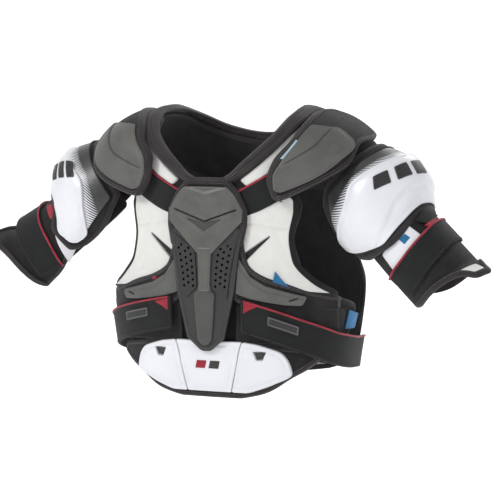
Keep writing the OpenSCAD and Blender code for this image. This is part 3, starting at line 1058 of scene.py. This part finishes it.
def make_collars():
    yoke = [
        bar(8, -3, 8, 6), bar(15, -2, 15, 8), bar(26, -1, 26, 13), bar(36, 1, 36, 21), bar(46, 12, 46, 30),
        bar(60, 20, 60, 40), bar(90, 24, 90, 44), bar(112, 16, 112, 42), bar(128, 4, 128, 37),
        bar(146, -1, 146, 33), bar(179.4, -1, 179.4, 30),
    ]
    collar = [
        bar(9, 2, 8.5, 7, -3), bar(15, 5.2, 15, 10.5), bar(22, 9, 22, 16.5), bar(40, 21, 40, 29.5),
        bar(60, 33.5, 60, 42), bar(90, 42, 90, 50, -2), bar(119, 37, 119, 45, -2),
    ]
    for side in SIDES:
        spot = on_side(dome, side)
        panel(
            f"{side}_yoke", "torso", "cover", spot, yoke, 0.6, 5.4, [f"yoke_{side}"],
            step=4, corner=6, crown=0.8, tape="tape", tape_width=8, stitches=(6.2,),
        )
        panel(
            f"{side}_collar", "torso", "roll", spot, collar, 8, 17.5, [f"collar_{side}"],
            step=2.5, corner=9, edge=6, rim=0.3, crown=0.8,
            puff=dict(seams=collar_seams, voxel=3.0, most=1.8), tape="tape", tape_width=7,
            stitches=(2.6, 5.4),
        )
        panel(
            f"{side}_clavicle_strip", "torso", "foam", spot,
            [bar(25.7, 2.6, 21.6, 6.6), bar(33, 6.8, 31, 13.5), bar(41, 12.2, 40, 20.2),
             bar(52, 23, 50, 27.5), bar(62, 31.2, 60, 33)],
            6.2, 10.0, [f"clavicle_strip_{side}"], step=2.5, corner=3, edge=2.6,
        )
        panel(
            f"{side}_clavicle_webbing", "torso", "elastic", spot,
            [bar(24, -16, 20, -1), bar(33.5, -11, 26, 2.2, 2), bar(43.5, -4.5, 39, 9.6, 2),
             bar(51, 1, 47, 15, 1)],
            6.8, 9.2, [f"clavicle_webbing_{side}"], step=2.2, corner=3, edge=1.2,
        )
        piping(
            f"{side}_clavicle_piping", "torso", "red", spot,
            [(20.4, -0.6), (26, 2.6), (32.5, 6.2), (39, 10), (46.6, 15.4)], 10.6, 1.5,
        )
    panel(
        "back_collar_roll", "torso", "roll", dome,
        [bar(113, 38, 113, 46), bar(130, 34, 130, 42), bar(152, 29, 152, 37), bar(180, 27, 180, 35),
         bar(208, 29, 208, 37), bar(230, 34, 230, 42), bar(247, 38, 247, 46)],
        6.8, 16, ["collar_back"], step=2.5, corner=9, edge=6, rim=0.3, crown=1.2,
        puff=dict(seams=collar_seams, voxel=3.0, most=2.2), tape="tape", tape_width=7, stitches=(2.6, 5.4),
    )


# ---- Torso: chest ----

def foam_slit(u, v, distance):
    """A slanted wedge cut in the chest foam; used as paint, it is painted shade inside the cut."""
    along = (u - 64) * 0.766 + (v + 220) * 0.643
    off = np.abs(-(u - 64) * 0.643 + (v + 220) * 0.766)
    half = 4.6 * (1 - np.clip(along / 52, 0, 1)) + 0.7
    return smoothstep(0.8, -0.4, off - half) * smoothstep(52, 48, along)


def make_chest():
    foam_rows = [
        bar(66, -118, 138, -124), bar(60, -150, 139, -146), bar(58, -190, 133, -188),
        bar(62, -222, 139, -226), bar(74, -250, 164, -258), bar(92, -268, 196, -282),
    ]

    def foam_relief(u, v, distance):
        channel = hump(v - (-168 - (u - 66) * 0.12), 1.8) * smoothstep(2, 8, distance)
        return -3.5 * foam_slit(u, v, distance) - 2.2 * channel

    for side in SIDES:
        panel(
            f"{side}_chest_foam", "torso", "foam", on_side(chest, side), foam_rows, 1.4, 7.2,
            [f"chest_foam_{side}"], step=2.0, corner=10, edge=4.5, rim=0.25, crown=1.0, relief=foam_relief,
            paint=foam_slit, tape="tape_dark", tape_width=2.2, tape_out=5.5,
        )
        panel(
            f"{side}_loop_panel", "torso", "pile", on_side(wrap, side),
            [bar(9, -294, 9, -362), bar(30, -296, 30, -362), bar(54, -300, 54, -364),
             bar(72, -306, 72, -364)],
            1.4, 4.6, [f"loop_panel_{side}"], step=4, corner=8, edge=1.5, stitches=(3.2,), thread="dark",
        )
        make_wing(side)


def make_wing(side):
    spot = on_side(chest, side)
    ridge = [(56, -236), (75, -262), (98, -275), (150, -286)]
    slot = (136, -288.5), (146, -285.5)

    def relief(u, v, distance):
        above = v - height_of_line(u, ridge)
        return 1.3 * smoothstep(1.2, -1.2, above) - 2.0 * smoothstep(1.6, 0.9, distance_to_line(u, v, slot))

    # Painted shade inside the slot near the wing's tip.
    def paint(u, v, distance):
        return 0.9 * smoothstep(1.5, 1.0, distance_to_line(u, v, slot))

    panel(
        f"{side}_rib_wing_backing", "torso", "cover", spot,
        [bar(46, -176, 46, -290), bar(60, -206, 58, -296), bar(69, -234, 70, -303), bar(96, -253, 96, -314),
         bar(130, -264, 128, -328, -1), bar(164, -276, 161, -346, -4), bar(197, -286, 195, -352, -7)],
        7.6, 10.4, step=2.6, corner=4, edge=1.6, tape="tape", tape_width=6, stitches=(1.9, 4.4),
    )
    if side == "left":
        panel(
            "left_side_tab", "torso", "blue", wrap,
            [bar(77, -309, 75, -340), bar(89, -318, 87, -342)], 0.6, 2.4, step=2, corner=2, edge=0.8,
        )
    panel(
        f"{side}_rib_wing", "torso", "grey", spot,
        [bar(54, -222, 50, -279), bar(74, -252, 72, -287), bar(98, -266, 100, -292),
         bar(130, -275, 128, -296), bar(160, -283, 153, -297)],
        10.8, 13.2, [f"rib_wing_{side}"], step=1.5, corner=3.5, edge=1.8, relief=relief, paint=paint,
        smooth=False,
    )
    if side == "left":
        triangle = [bar(109, -259, 134, -268), bar(111, -250, 123, -256), bar(112, -243, 114, -244)]
        look = "blue"
    else:
        triangle = [bar(90, -256, 91, -262), bar(98, -257, 99, -262)]
        look = "red"
    mark(f"{side}_wing_mark", "torso", look, spot, triangle, 10.2, 11.4, 0.6, 0.6)


def slit_z(x):
    return -165 + 0.36 * np.abs(x)


def ridge_z(x):
    return -186 + 0.64 * np.abs(x)


def make_sternum():
    panel(
        "sternum_head_pad", "torso", "cover", chest,
        [wide(34, -97), wide(54, -120), wide(67, -147), wide(67, -172), wide(60, -206)],
        12.6, 17.0, step=2.4, corner=7, edge=2.4, tape="tape", tape_width=10, stitches=(3.2, 7.4),
        smooth=False,
    )

    inner = [(-287, 30), (-270, 13), (-240, 14), (-211, 17), (-187, 50)]
    outer = [(-288, 39), (-275, 40), (-250, 43), (-215, 50), (-184, 57)]

    def base_relief(u, v, distance):
        return 0.9 * smoothstep(2.0, 3.6, distance) - 0.9 * smoothstep(6.0, 7.6, distance)

    # Painted shade on the backing under the vent plates, so that their holes look black.
    def vent_hole_shade(u, v, distance):
        near, far = height_of_line(v, inner), height_of_line(v, outer)
        wide_in = smoothstep(0, 2, np.abs(u) - near - 2) * smoothstep(0, 2, far - 2 - np.abs(u))
        return wide_in * smoothstep(-284, -280, v) * smoothstep(-192, -196, v)

    holes = []
    for share, start in ((0.22, -208), (0.5, -203), (0.78, -208)):
        for z in np.arange(start, -272, -10):
            near, far = height_of_line(z, inner), height_of_line(z, outer)
            holes.append((near + (far - near) * share, z, 2.15))
    panel(
        "sternum_backing", "torso", "dark", chest,
        [wide(50, -166), wide(61, -184), wide(55, -230), wide(49, -278), wide(45, -297), wide(32, -352),
         wide(8, -373)],
        14.8, 18.2, ["sternum_base"], step=2.0, corner=4, edge=1.8, smooth=False, relief=base_relief,
        paint=vent_hole_shade, holes=holes + [(-u, v, radius) for u, v, radius in holes],
    )

    def head_relief(u, v, distance):
        bevel = v - (-122 + 0.27 * np.abs(u))
        slit = np.abs(v - slit_z(u))
        rise = -1.7 * smoothstep(-0.8, 5, bevel)
        rise -= 2.4 * smoothstep(1.5, 0.8, slit) * smoothstep(55, 52, np.abs(u))
        rise += 1.3 * smoothstep(-1.2, 0.6, v - ridge_z(u)) * smoothstep(56, 44, np.abs(u))
        return rise - 2.2 * head_recess(u, v)

    def head_recess(u, v):
        top, low = -166.8 + 0.2 * np.abs(u), ridge_z(u) + 6
        between = smoothstep(0.8, -0.6, v - top) * smoothstep(-0.8, 0.6, v - low)
        return between * smoothstep(31, 28, np.abs(u))

    # Painted shade in the V slit, and weaker in the recess below it.
    def head_slit_shade(u, v, distance):
        slit = smoothstep(1.4, 0.9, np.abs(v - slit_z(u))) * smoothstep(55, 52, np.abs(u))
        return np.maximum(slit, 0.55 * head_recess(u, v))

    panel(
        "sternum_head_plate", "torso", "grey", chest,
        [wide(37, -110), wide(49, -122), wide(63, -146), wide(62, -165), wide(22, -206), wide(13, -216)],
        18.4, 22.4, ["sternum_head"], step=1.2, corner=2.6, edge=1.6, relief=head_relief, paint=head_slit_shade,
        smooth=False,
    )

    def keel_relief(u, v, distance):
        return 0.9 * smoothstep(1.6, 3.4, distance)

    panel(
        "sternum_keel_plate", "torso", "grey", chest,
        [wide(15, -205), wide(11.5, -218), wide(9.5, -266), wide(12, -276)], 18.4, 22.2,
        ["sternum_keel"], step=1.2, corner=1.6, edge=1.6, relief=keel_relief, smooth=False,
    )
    panel(
        "sternum_insert_plate", "torso", "insert", chest,
        [wide(9, -272), wide(18, -280), wide(15.5, -318), wide(12, -354), wide(5, -363)], 18.4, 22.6,
        ["sternum_insert"], step=1.2, corner=2.6, edge=1.6, relief=keel_relief, smooth=False,
    )
    for side in SIDES:
        panel(
            f"{side}_sternum_vent", "torso", "vent", on_side(chest, side),
            [bar(50, -187, 57, -184), bar(17, -211, 50, -215), bar(14, -240, 43, -250),
             bar(13, -270, 40, -275), bar(30, -287, 39, -288)],
            18.2, 20.6, [f"sternum_vent_{side}"], step=1.6, corner=1.6, edge=1.4, smooth=False, holes=holes,
        )


# ---- Belly ----

def make_belly():
    panel(
        "belly_backing", "belly", "cover", chest,
        [wide(112, -361), wide(164, -371), wide(170, -384), wide(156, -399), wide(130, -415), wide(94, -438),
         wide(58, -449)],
        -1, 4, ["belly_base"], step=3.5, corner=9, edge=2.4, tape="tape", tape_width=8, stitches=(6.2,),
    )

    def channel(u, v, distance):
        return -0.9 * hump(distance - 7, 1.1)

    panel(
        "belly_centre_shell", "belly", "white", chest,
        [wide(57.4, -357), wide(53.4, -368), wide(47.4, -398), wide(37.4, -440)], 4.4, 9.2,
        ["belly_shell_center"], step=2.0, corner=3, edge=1.3, relief=channel, crown=0.7,
    )

    def cutout(u, v, distance):
        """A trapezoid window near the top of the side facet."""
        x0, x1 = np.interp(v, [-385, -372], [81, 76]), np.interp(v, [-385, -372], [91, 96])
        inside = smoothstep(-0.6, 0.6, u - x0) * smoothstep(-0.6, 0.6, x1 - u)
        return inside * smoothstep(-385.6, -384.4, v) * smoothstep(-371.4, -372.6, v)

    def side_relief(u, v, distance):
        return channel(u, v, distance) - 3.6 * cutout(u, v, distance)

    for side in SIDES:
        panel(
            f"{side}_belly_shell", "belly", "white", on_side(chest, side),
            [bar(58, -357, 86, -361), bar(54, -368, 120, -374), bar(49.6, -388, 131, -392),
             bar(47, -400, 134, -407), bar(43, -420, 106, -425), bar(38, -440, 66, -440)],
            4.4, 9.2, [f"belly_shell_{side}"], step=1.8, corner=5, edge=1.3, relief=side_relief,
            paint=cutout, crown=0.7,
        )
    for name, look, start in (("red", "red", -22), ("grey", "dark", 1)):
        rows = [bar(start + 3, -389, start + 20, -389), bar(start, -402, start + 17, -402)]
        mark(f"belly_{name}_mark", "belly", look, chest, rows, 9.8, 10.9, 0.8, 0.6)


# ---- Torso straps ----

def strap_top(a, side):
    """The strap's upper edge. The left strap sags a little between its two ends."""
    sag = np.interp(a, [11, 38, 65, 90, 112], [2, 11, 16, 11, 0]) if side == "left" else 0
    return -286 - (a - 11) * 0.75 - sag


def strap_lift(a):
    return np.interp(a, [11, 30, 54, 76, 96, 112], [15, 14, 10, 6, 4, 4])


def tab_paint(u, v, distance):
    """A thin light frame on the strap's tab."""
    return hump(distance - 2.3, 0.5)


def make_torso_straps():
    ends = np.arange(11, 113, 14.4)
    for side in SIDES:
        tops = [(a, strap_top(a, side), float(strap_lift(a))) for a in ends]
        rows = [bar(a, z, a, z - 53, lift) for a, z, lift in tops]
        body, spot = f"torso_strap_{side}", on_side(wrap, side)
        lifted = lambda a, z, o: spot(a, z, o + strap_lift(a))
        panel(
            f"{side}_torso_strap", body, "elastic", spot, rows, 0, 4, [f"torso_strap_{side}"],
            step=2.6, corner=4, edge=1.3, stitches=(3.0,), thread="dark",
        )
        line = [(a, strap_top(a, side) - 1.2) for a in np.arange(12, 112, 6.0)]
        piping(f"{side}_torso_strap_piping", body, "red", lifted, line, 4.3, 1.5)
        corner = [bar(12.2, -290, 12.2, -310), bar(15, -293, 15, -303), bar(18, -296, 18, -298)]
        mark(f"{side}_torso_strap_corner", body, "red", lifted, corner, 4.1, 5.0, 0.8, 0.5)
        tab = [(a, strap_top(a, side), float(strap_lift(a))) for a in (22, 30, 38)]
        panel(
            f"{side}_torso_strap_tab", body, "label", spot,
            [bar(a, z - 12, a, z - 28, lift) for a, z, lift in tab], 4.4, 6.2, [f"strap_tab_{side}"],
            step=0.8, corner=2.5, edge=1.0, rim=0.3, paint=tab_paint,
            relief=lambda u, v, distance: -0.5 * smoothstep(2.4, 3.2, distance),
        )


# ---- Back ----

def make_back():
    def ribs(u, v, distance):
        return -1.4 * hump(np.mod(v, 22) - 11, 1.6) * smoothstep(4, 8, distance)

    panel(
        "upper_spine_plate", "torso", "grey", back,
        [wide(34, -70), wide(46, -100), wide(38, -160), wide(32, -204)], 14, 18.6, ["spine_plate_upper"],
        step=2.0, corner=6, edge=2.2, relief=ribs,
    )
    panel(
        "lower_spine_plate", "torso", "grey", back,
        [wide(32, -210), wide(38, -260), wide(26, -330)], 14, 18.6, ["spine_plate_lower"],
        step=2.0, corner=6, edge=2.2, relief=ribs,
    )

    def quilt(pitch):
        def depth(flat):
            line = np.abs(np.mod(flat[:, 1] + pitch / 2, pitch) - pitch / 2)
            return 2.0 * hump(line, 2.2) * smoothstep(5, 14, flat[:, 2])
        return depth

    for side in SIDES:
        spot = on_side(back, side)
        panel(
            f"{side}_blade_lining", "torso", "lining", spot,
            [bar(-2, -50, 100, -50), bar(-2, -90, 134, -90), bar(-2, -150, 144, -150),
             bar(-2, -190, 136, -190), bar(-2, -236, 142, -236)],
            5.2, 7.2, step=5, corner=14, edge=1.2, tape="tape_dark", tape_width=7,
        )
        panel(
            f"{side}_shoulder_blade_pad", "torso", "foam", spot,
            [bar(14, -66, 96, -66), bar(12, -100, 130, -100), bar(12, -150, 138, -150),
             bar(12, -190, 130, -190), bar(12, -226, 136, -226)],
            7.6, 12.4, [f"shoulder_blade_pad_{side}"], step=4, corner=16, edge=4, rim=0.3,
            puff=dict(seams=quilt(40), voxel=4.6, most=2.4),
        )
        panel(
            f"{side}_kidney_pad", "torso", "foam", spot,
            [bar(12, -234, 140, -234), bar(12, -270, 170, -276), bar(12, -332, 172, -332)], 1.4, 10,
            [f"kidney_pad_{side}"], step=4, corner=16, edge=5, rim=0.3,
            puff=dict(seams=quilt(32), voxel=4.6, most=2.4),
        )
    panel(
        "lower_back_cushion", "lower_back", "foam", back,
        [wide(150, -340), wide(158, -380), wide(130, -424), wide(60, -440)], 2.6, 10.6, ["lower_back_pad"],
        step=4, corner=16, edge=5, rim=0.3, puff=dict(seams=quilt(34), voxel=4.6, most=2.4),
        tape="tape_dark", tape_width=8, stitches=(5.6,), thread="dark",
    )


# ---- Shoulder caps ----

CAP_CREASE = {
    "left": [(34, 8), (44, 13.3), (56, 19.1), (61, 22.7), (71, 28.5)],
    "right": [(33, 8.6), (54, 14.8), (57, 16.6), (63.4, 21.3), (71, 27)],
}
CAP_PLATE = {
    "left": [bar(37.9, 0.6, 40.5, -0.6), bar(37.6, 7, 54, 5.6), bar(40.6, 12.7, 62.8, 11.1),
             bar(51.8, 24.4, 72, 18.5), bar(58.6, 29.3, 69.5, 25)],
    "right": [bar(38.5, 0.8, 41.5, -0.4), bar(36.1, 8.5, 56, 5), bar(37.2, 15, 65.5, 9.8),
              bar(45.3, 23.2, 70.5, 18), bar(53, 30, 71, 27)],
}
CAP_PAD = {
    "left": [bar(38.4, -4, 41.5, -4.4), bar(35.8, 6, 57, 4.2), bar(38.5, 14.2, 67, 9.5),
             bar(48, 23.5, 78, 18), bar(60, 33, 91, 19), bar(78, 39, 98, 21.5), bar(90, 39, 99, 32)],
    "right": [bar(39, -3, 43, -3.5), bar(34.5, 7, 60, 2.5), bar(34.6, 15, 70, 8), bar(43, 24.5, 79, 17),
              bar(52, 33, 94, 19.5), bar(77, 39.5, 106, 24), bar(95, 39, 106, 34)],
}


def make_caps():
    for side in SIDES:
        body, spot = f"shoulder_cap_{side}", on_side(cap_dome, side)
        crease = CAP_CREASE[side]
        panel(
            f"{side}_cap_pad", body, "cover", spot, CAP_PAD[side], -11, -5.4,
            [f"cap_pad_{side}"], step=2.8, corner=7, edge=3, crown=0.8, tape="tape", tape_width=9,
            stitches=(3.2, 7.0),
        )

        def relief(u, v, distance, crease=crease):
            above = (v - height_of_line(u, crease)) * 2.7
            groove = hump(above, 1.1) * smoothstep(3, 9, distance)
            low_edge = hump(distance - 4.6, 1.2)
            return 1.6 * smoothstep(2.4, -1.6, above) - 1.5 * groove - 0.5 * low_edge

        # Painted shade along the crease's groove.
        def paint(u, v, distance, crease=crease):
            above = (v - height_of_line(u, crease)) * 2.7
            return 0.75 * hump(above, 0.9) * smoothstep(3, 9, distance)

        panel(
            f"{side}_cap_shell", body, "grey", spot, CAP_PLATE[side], -4.2, -1.6,
            [f"cap_shell_{side}"], step=1.4, corner=4, edge=1.8, relief=relief, paint=paint,
        )
    rows = [bar(41.2, 15.4, 43.6, 14.9), bar(49.4, 23.2, 50.2, 21.7)]
    mark("left_cap_mark", "shoulder_cap_left", "pale_blue", cap_dome, rows, -4.2, -2.6, 0.5, 0.5)


# ---- Arms ----

def row(*points):
    """A row of control points, each (along the arm, angle round it) and perhaps a lift."""
    return [tuple(p) + (0.0,) * (3 - len(p)) for p in points]


SHELL = {
    "left": [
        row((84, -86), (82, -30), (78, 20), (65, 70), (84, 94), (103, 150)),
        row((104, -90), (103, -30), (102, 22), (96, 72), (105, 102), (114, 150)),
        row((130, -88), (132, -30), (132, 20), (134, 62), (136, 102), (130, 140)),
        row((152, -80), (156, -28), (156, 10), (165, 52), (170, 88), (153, 118)),
    ],
    "right": [
        row((84, -86), (84, -20), (83, 35), (77, 70), (101, 95), (130, 122)),
        row((106, -88), (106, -20), (104, 38), (104, 72), (120, 97), (142, 123)),
        row((130, -86), (130, -20), (127, 45), (132, 76), (146, 98), (155, 122)),
        row((152, -80), (150, -20), (146, 55), (157, 78), (171, 98), (165, 117)),
    ],
}
CORE = {
    "left": [
        row((34, -76), (30, -20), (31, 30), (29, 84), (29, 107)),
        row((72, -94), (66, -20), (66, 30), (58, 90), (49, 134)),
        row((110, -96), (110, -20), (110, 30), (108, 98), (98, 156)),
        row((140, -94), (142, -20), (142, 30), (145, 98), (134, 157)),
        row((161, -86), (166, -28), (168, 12), (180, 76), (162, 134)),
    ],
    "right": [
        row((34, -76), (31, -20), (31, 30), (36, 74), (42, 113)),
        row((72, -94), (70, -20), (70, 30), (72, 84), (70, 124)),
        row((110, -96), (110, -20), (110, 36), (112, 90), (112, 135)),
        row((140, -94), (138, -20), (136, 44), (144, 90), (148, 136)),
        row((161, -86), (160, -20), (154, 50), (179, 88), (180, 128)),
    ],
}
LINING = {
    "left": [
        bar(92, -130, 92, 124), bar(130, -150, 130, 134), bar(184, -150, 184, 142),
        bar(238, -150, 238, 148), bar(258, -120, 264, 148), bar(272, -60, 274, 130),
        bar(284, -20, 280, 82, 4), bar(298, 4, 293, 46, 13), bar(316, 14, 313, 36, 23),
    ],
    "right": [
        bar(92, -112, 92, 104), bar(130, -114, 130, 120), bar(184, -114, 184, 134),
        bar(238, -112, 238, 150, 2), bar(256, -100, 262, 150, 4), bar(264, -40, 270, 130, 7),
        bar(272, -8, 273, 80, 13), bar(280, 10, 281, 56, 19), bar(290, 18, 290, 44, 26),
    ],
}


BADGE = {
    "left": [
        [bar(85, 54, 103, 61), bar(91, 39, 111, 44)], [bar(93, 32, 114, 37), bar(95, 16, 118, 19)],
        [bar(96, 10, 120, 13), bar(97, -7, 122, -5)],
    ],
    "right": [
        [bar(74, 50, 84, 66), bar(86, 42, 96, 61)], [bar(91, 39, 101, 58), bar(102, 34, 112, 53)],
        [bar(107, 31, 117, 51), bar(117, 27, 127, 46)],
    ],
}


def edge_of(rows, t):
    """How far along the arm a row of a guard piece is, at an angle round the arm."""
    s, angle = zip(*[(p[0], p[1]) for p in rows])
    return np.interp(t, angle, s)


def make_arms():
    for side in SIDES:
        body = f"arm_{side}"
        on_guard, on_sleeve = on_arm(guard, side), on_arm(sleeve, side)
        puff = 11 if side == "left" else 0
        flap = Slab(Patch(
            on_sleeve,
            [[(-6, -84, 0), (-6, 0, puff), (-6, 74, 0)], [(16, -96, 0), (16, 0, puff), (16, 84, 0)],
             [(34, -100, 0), (34, 0, 0), (34, 100, 0)], [(55, -100, 0), (55, 0, 0), (55, 100, 0)]],
            4.0, 1.2, 5.0), 1, 3.6, 1.2)
        cloth = flap.build(f"{side}_deltoid_cloth", MATERIALS["cover"])
        tuple(on_sleeve(0.0, 0.0, -CUFF_RADIUS) * MM)
        tuple(on_sleeve(26.0, 0.0, -CUFF_RADIUS) * MM)
        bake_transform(cloth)
        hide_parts(f"deltoid_flap_{side}")
        panel(
            f"{side}_arm_lining", body, "cover", on_sleeve, LINING[side], 0, 4.4,
            [f"arm_lining_{side}"], step=3.0, corner=7, edge=2.4, tape="tape", tape_width=9,
            stitches=(7.0,),
        )
        core = CORE[side]
        if side == "left":
            panel(
                "left_arm_tongue_patch", body, "foam", on_sleeve,
                [bar(288, 17, 284, 46, 9.5), bar(298, 17, 295, 38, 14.5), bar(307, 19, 305, 31, 19.5)],
                4.2, 5.6, step=2, corner=3, edge=1,
            )
        panel(
            f"{side}_bicep_core", body, "cover", on_guard, core, -10, -5.4,
            [f"bicep_core_{side}"], step=3.2, corner=8, edge=2.4, tape="tape", tape_width=9,
        )
        shell = SHELL[side]

        def shell_relief(u, v, distance):
            ridge = np.interp(v, [-80, 14, 37, 52, 70, 110], [140, 135, 133, 137, 151, 170])
            step = smoothstep(2, -5, u - ridge)
            emboss = hump(distance - 3.6, 0.8) + hump(distance - 6.6, 0.8)
            return 4.4 * step - 0.9 * emboss

        panel(
            f"{side}_bicep_shell", body, "white", on_guard, shell, -4, -2.2,
            [f"bicep_shell_{side}"], step=2.0, corner=6, edge=2.0, relief=shell_relief, crown=0.6,
        )

        def fade(u, v, distance, core=core, shell=shell):
            start = edge_of(core[0], v) + 20
            return np.clip((u - start) / (edge_of(shell[0], v) - start), 0, 1)

        near_end, far_end = core[0][-1][1], shell[0][-1][1]
        hatch = [
            [(edge_of(core[0], t) + 16, t, 0) for t in (-74, -30, 20, 66, 96, near_end - 3)],
            [(edge_of(shell[0], t) + 3, t, 0) for t in (-84, -30, 20, 68, 98, far_end - 3)],
        ]
        panel(
            f"{side}_shoulder_panel", body, "hatch", on_guard, hatch, -5.2, -3.2,
            [f"shoulder_panel_{side}"], step=1.8, corner=4, edge=1.6, paint=fade,
        )
        piping(
            f"{side}_guard_rim", body, "tape_dark", on_guard,
            [(edge_of(core[0], t) + 15, t) for t in (-74, -30, 20, 66, 96, near_end - 4)], -3.8, 1.8,
        )
        for k, (near, far) in enumerate(BADGE[side]):
            panel(
                f"{side}_shell_badge_{k + 1}", body, "badge", on_guard, [near, far], 2.6, 4.6,
                step=1.6, corner=2, edge=0.9, smooth=False,
            )
        make_arm_strap(side, on_sleeve)


STRAP = {
    "left": [
        [(184, -36), (230, -36)], [(191, 10), (236, 10)], [(202, 62), (249, 62)], [(206, 96), (254, 92)],
        [(205, 136), (256, 128)],
    ],
    "right": [
        [(184, -36), (232, -36, 5)], [(187, 10), (238, 10, 8)], [(191, 44), (243, 44, 6)],
        [(196, 89), (247, 84, 2)], [(212, 138), (256, 128)],
    ],
}
KEEPER = {
    "left": [bar(171, 50, 199, 45), bar(172, 80, 205, 80), bar(175, 112, 207, 117)],
    "right": [bar(169, 74, 174, 79), bar(172, 100, 189, 106), bar(170, 132, 205, 146)],
}


def make_arm_strap(side, spot):
    body = f"arm_strap_{side}"
    panel(
        f"{side}_arm_strap", body, "elastic", spot, STRAP[side], 5.6, 9.6,
        [f"arm_strap_{side}"], step=2.4, corner=4, edge=1.3, stitches=(3.0,), thread="dark",
    )
    piping(
        f"{side}_arm_strap_piping", body, "red", spot,
        [(first[0] + 1, first[1]) for first, _ in STRAP[side]], 9.9, 1.7,
    )
    if side == "left":
        arrow = [bar(185, 3, 187, 5), bar(188, 20, 197, 26), bar(190, 34, 191, 34)]
        mark("left_arm_strap_arrow", body, "red", spot, arrow, 10.2, 11.6, 0.6, 0.5)
        tab, look = [bar(164, 14, 182, -4), bar(175, 40, 192, 26)], "elastic"
    else:
        tab, look = [bar(158, 50, 170, 46), bar(160, 74, 172, 72)], "red"
    panel(
        f"{side}_arm_strap_tab", body, look, spot, tab, 9.8, 11.2, [f"arm_strap_tab_{side}"],
        step=1.5, corner=2, edge=0.7,
    )
    panel(
        f"{side}_arm_strap_keeper", body, "white", spot, KEEPER[side], 4.6, 6.6, step=1.8,
        corner=2, edge=1.2, rim=0.3,
    )
    if side == "left":
        rows = [bar(180, 62, 191, 60), bar(181, 74, 193, 73)]
        mark("left_keeper_mark", body, "blue", spot, rows, 6.7, 7.5, 0.8, 0.4)


make_linings()
make_collars()
make_chest()
make_sternum()
make_belly()
make_torso_straps()
make_back()
make_caps()
make_arms()
sew_everything(THREADS)
make_camera()
make_studio()
